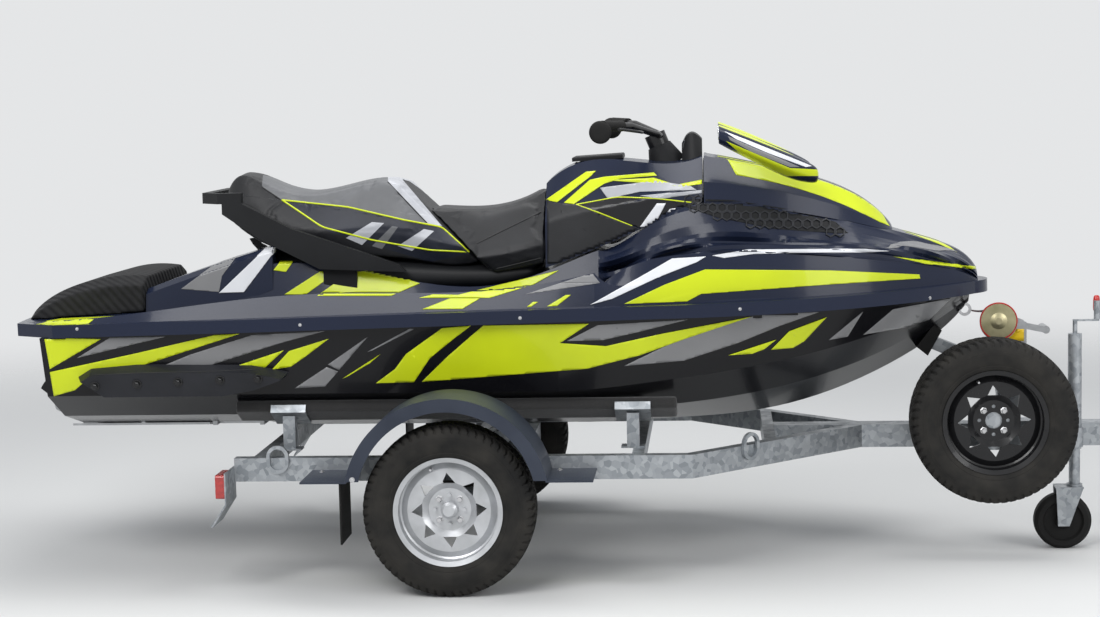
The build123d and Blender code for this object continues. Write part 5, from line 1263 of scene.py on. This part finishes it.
# Stage: a pale floor that fades into the pale world, and soft lamps
FLOOR_HALF = 40
FADE_FROM = 2.6
FADE_TO = 9.0


def pale_floor():
    """Floor that keeps the shadow near the object and turns clear further out."""
    mesh = bpy.data.meshes.new("floor")
    corners = [(-FLOOR_HALF, -FLOOR_HALF, 0), (FLOOR_HALF, -FLOOR_HALF, 0), (FLOOR_HALF, FLOOR_HALF, 0),
               (-FLOOR_HALF, FLOOR_HALF, 0)]
    mesh.from_pydata(corners, [], [(0, 1, 2, 3)])
    floor = placed("floor", mesh)
    pale = new_material("pale_floor", (0.70, 0.70, 0.69), 0.85, gloss=0.1)
    tree = pale.node_tree
    far = tree.nodes.new("ShaderNodeVectorMath")
    far.operation = "LENGTH"
    tree.links.new(coordinates(pale), far.inputs[0])
    fade = add_node(pale, "ShaderNodeMapRange", From_Min=FADE_FROM, From_Max=FADE_TO)
    fade.interpolation_type = "SMOOTHERSTEP"
    tree.links.new(far.outputs["Value"], fade.inputs["Value"])
    clear = tree.nodes.new("ShaderNodeBsdfTransparent")
    mixed = tree.nodes.new("ShaderNodeMixShader")
    tree.links.new(fade.outputs["Result"], mixed.inputs["Fac"])
    tree.links.new(tree.nodes[SHADER].outputs["BSDF"], mixed.inputs[1])
    tree.links.new(clear.outputs["BSDF"], mixed.inputs[2])
    tree.links.new(mixed.outputs["Shader"], tree.nodes["Material Output"].inputs["Surface"])
    mesh.materials.append(pale)


def clamped_sum(tree, one, two):
    """Sum of two outputs, held between 0 and 1."""
    total = tree.nodes.new("ShaderNodeMath")
    total.use_clamp = True
    tree.links.new(one, total.inputs[0])
    tree.links.new(two, total.inputs[1])
    return total.outputs["Value"]


def pale_world():
    """Soft cool light, seen as a pale backdrop by the camera and in gloss and glass."""
    world = bpy.data.worlds.new("sky")
    scene.world = world
    world.use_nodes = True
    tree = world.node_tree
    light = tree.nodes["Background"]
    light.inputs["Color"].default_value = (0.80, 0.84, 0.90, 1.0)
    light.inputs["Strength"].default_value = 0.50
    backdrop = add_node(world, "ShaderNodeBackground", Color=(0.78, 0.79, 0.80, 1.0), Strength=1.0)
    rays = tree.nodes.new("ShaderNodeLightPath").outputs
    reflected = clamped_sum(tree, rays["Is Glossy Ray"], rays["Is Transmission Ray"])
    shown = clamped_sum(tree, rays["Is Camera Ray"], reflected)
    blend = tree.nodes.new("ShaderNodeMixShader")
    tree.links.new(shown, blend.inputs["Fac"])
    tree.links.new(light.outputs["Background"], blend.inputs[1])
    tree.links.new(backdrop.outputs["Background"], blend.inputs[2])
    tree.links.new(blend.outputs["Shader"], tree.nodes["World Output"].inputs["Surface"])


def lamp(name, place, target, size, power):
    """Soft lamp aimed at a point."""
    data = bpy.data.lights.new(name, "AREA")
    data.shape = "RECTANGLE"
    data.size = size[0]
    data.size_y = size[1]
    data.energy = power
    made = placed(name, data)
    made.location = place
    made.rotation_mode = "QUATERNION"
    made.rotation_quaternion = (Vector(target) - Vector(place)).to_track_quat("-Z", "Y")


pale_floor()
pale_world()
lamp("key", (-2.5, -5.0, 5.0), (0.0, 0.0, 0.7), (4.0, 3.0), 275.0)
lamp("top", (0.5, 0.5, 5.5), (0.2, 0.0, 0.8), (6.0, 2.5), 185.0)
lamp("fill", (5.0, -4.0, 3.0), (0.3, 0.0, 0.7), (3.0, 3.0), 110.0)
scene.view_settings.view_transform = "Standard"
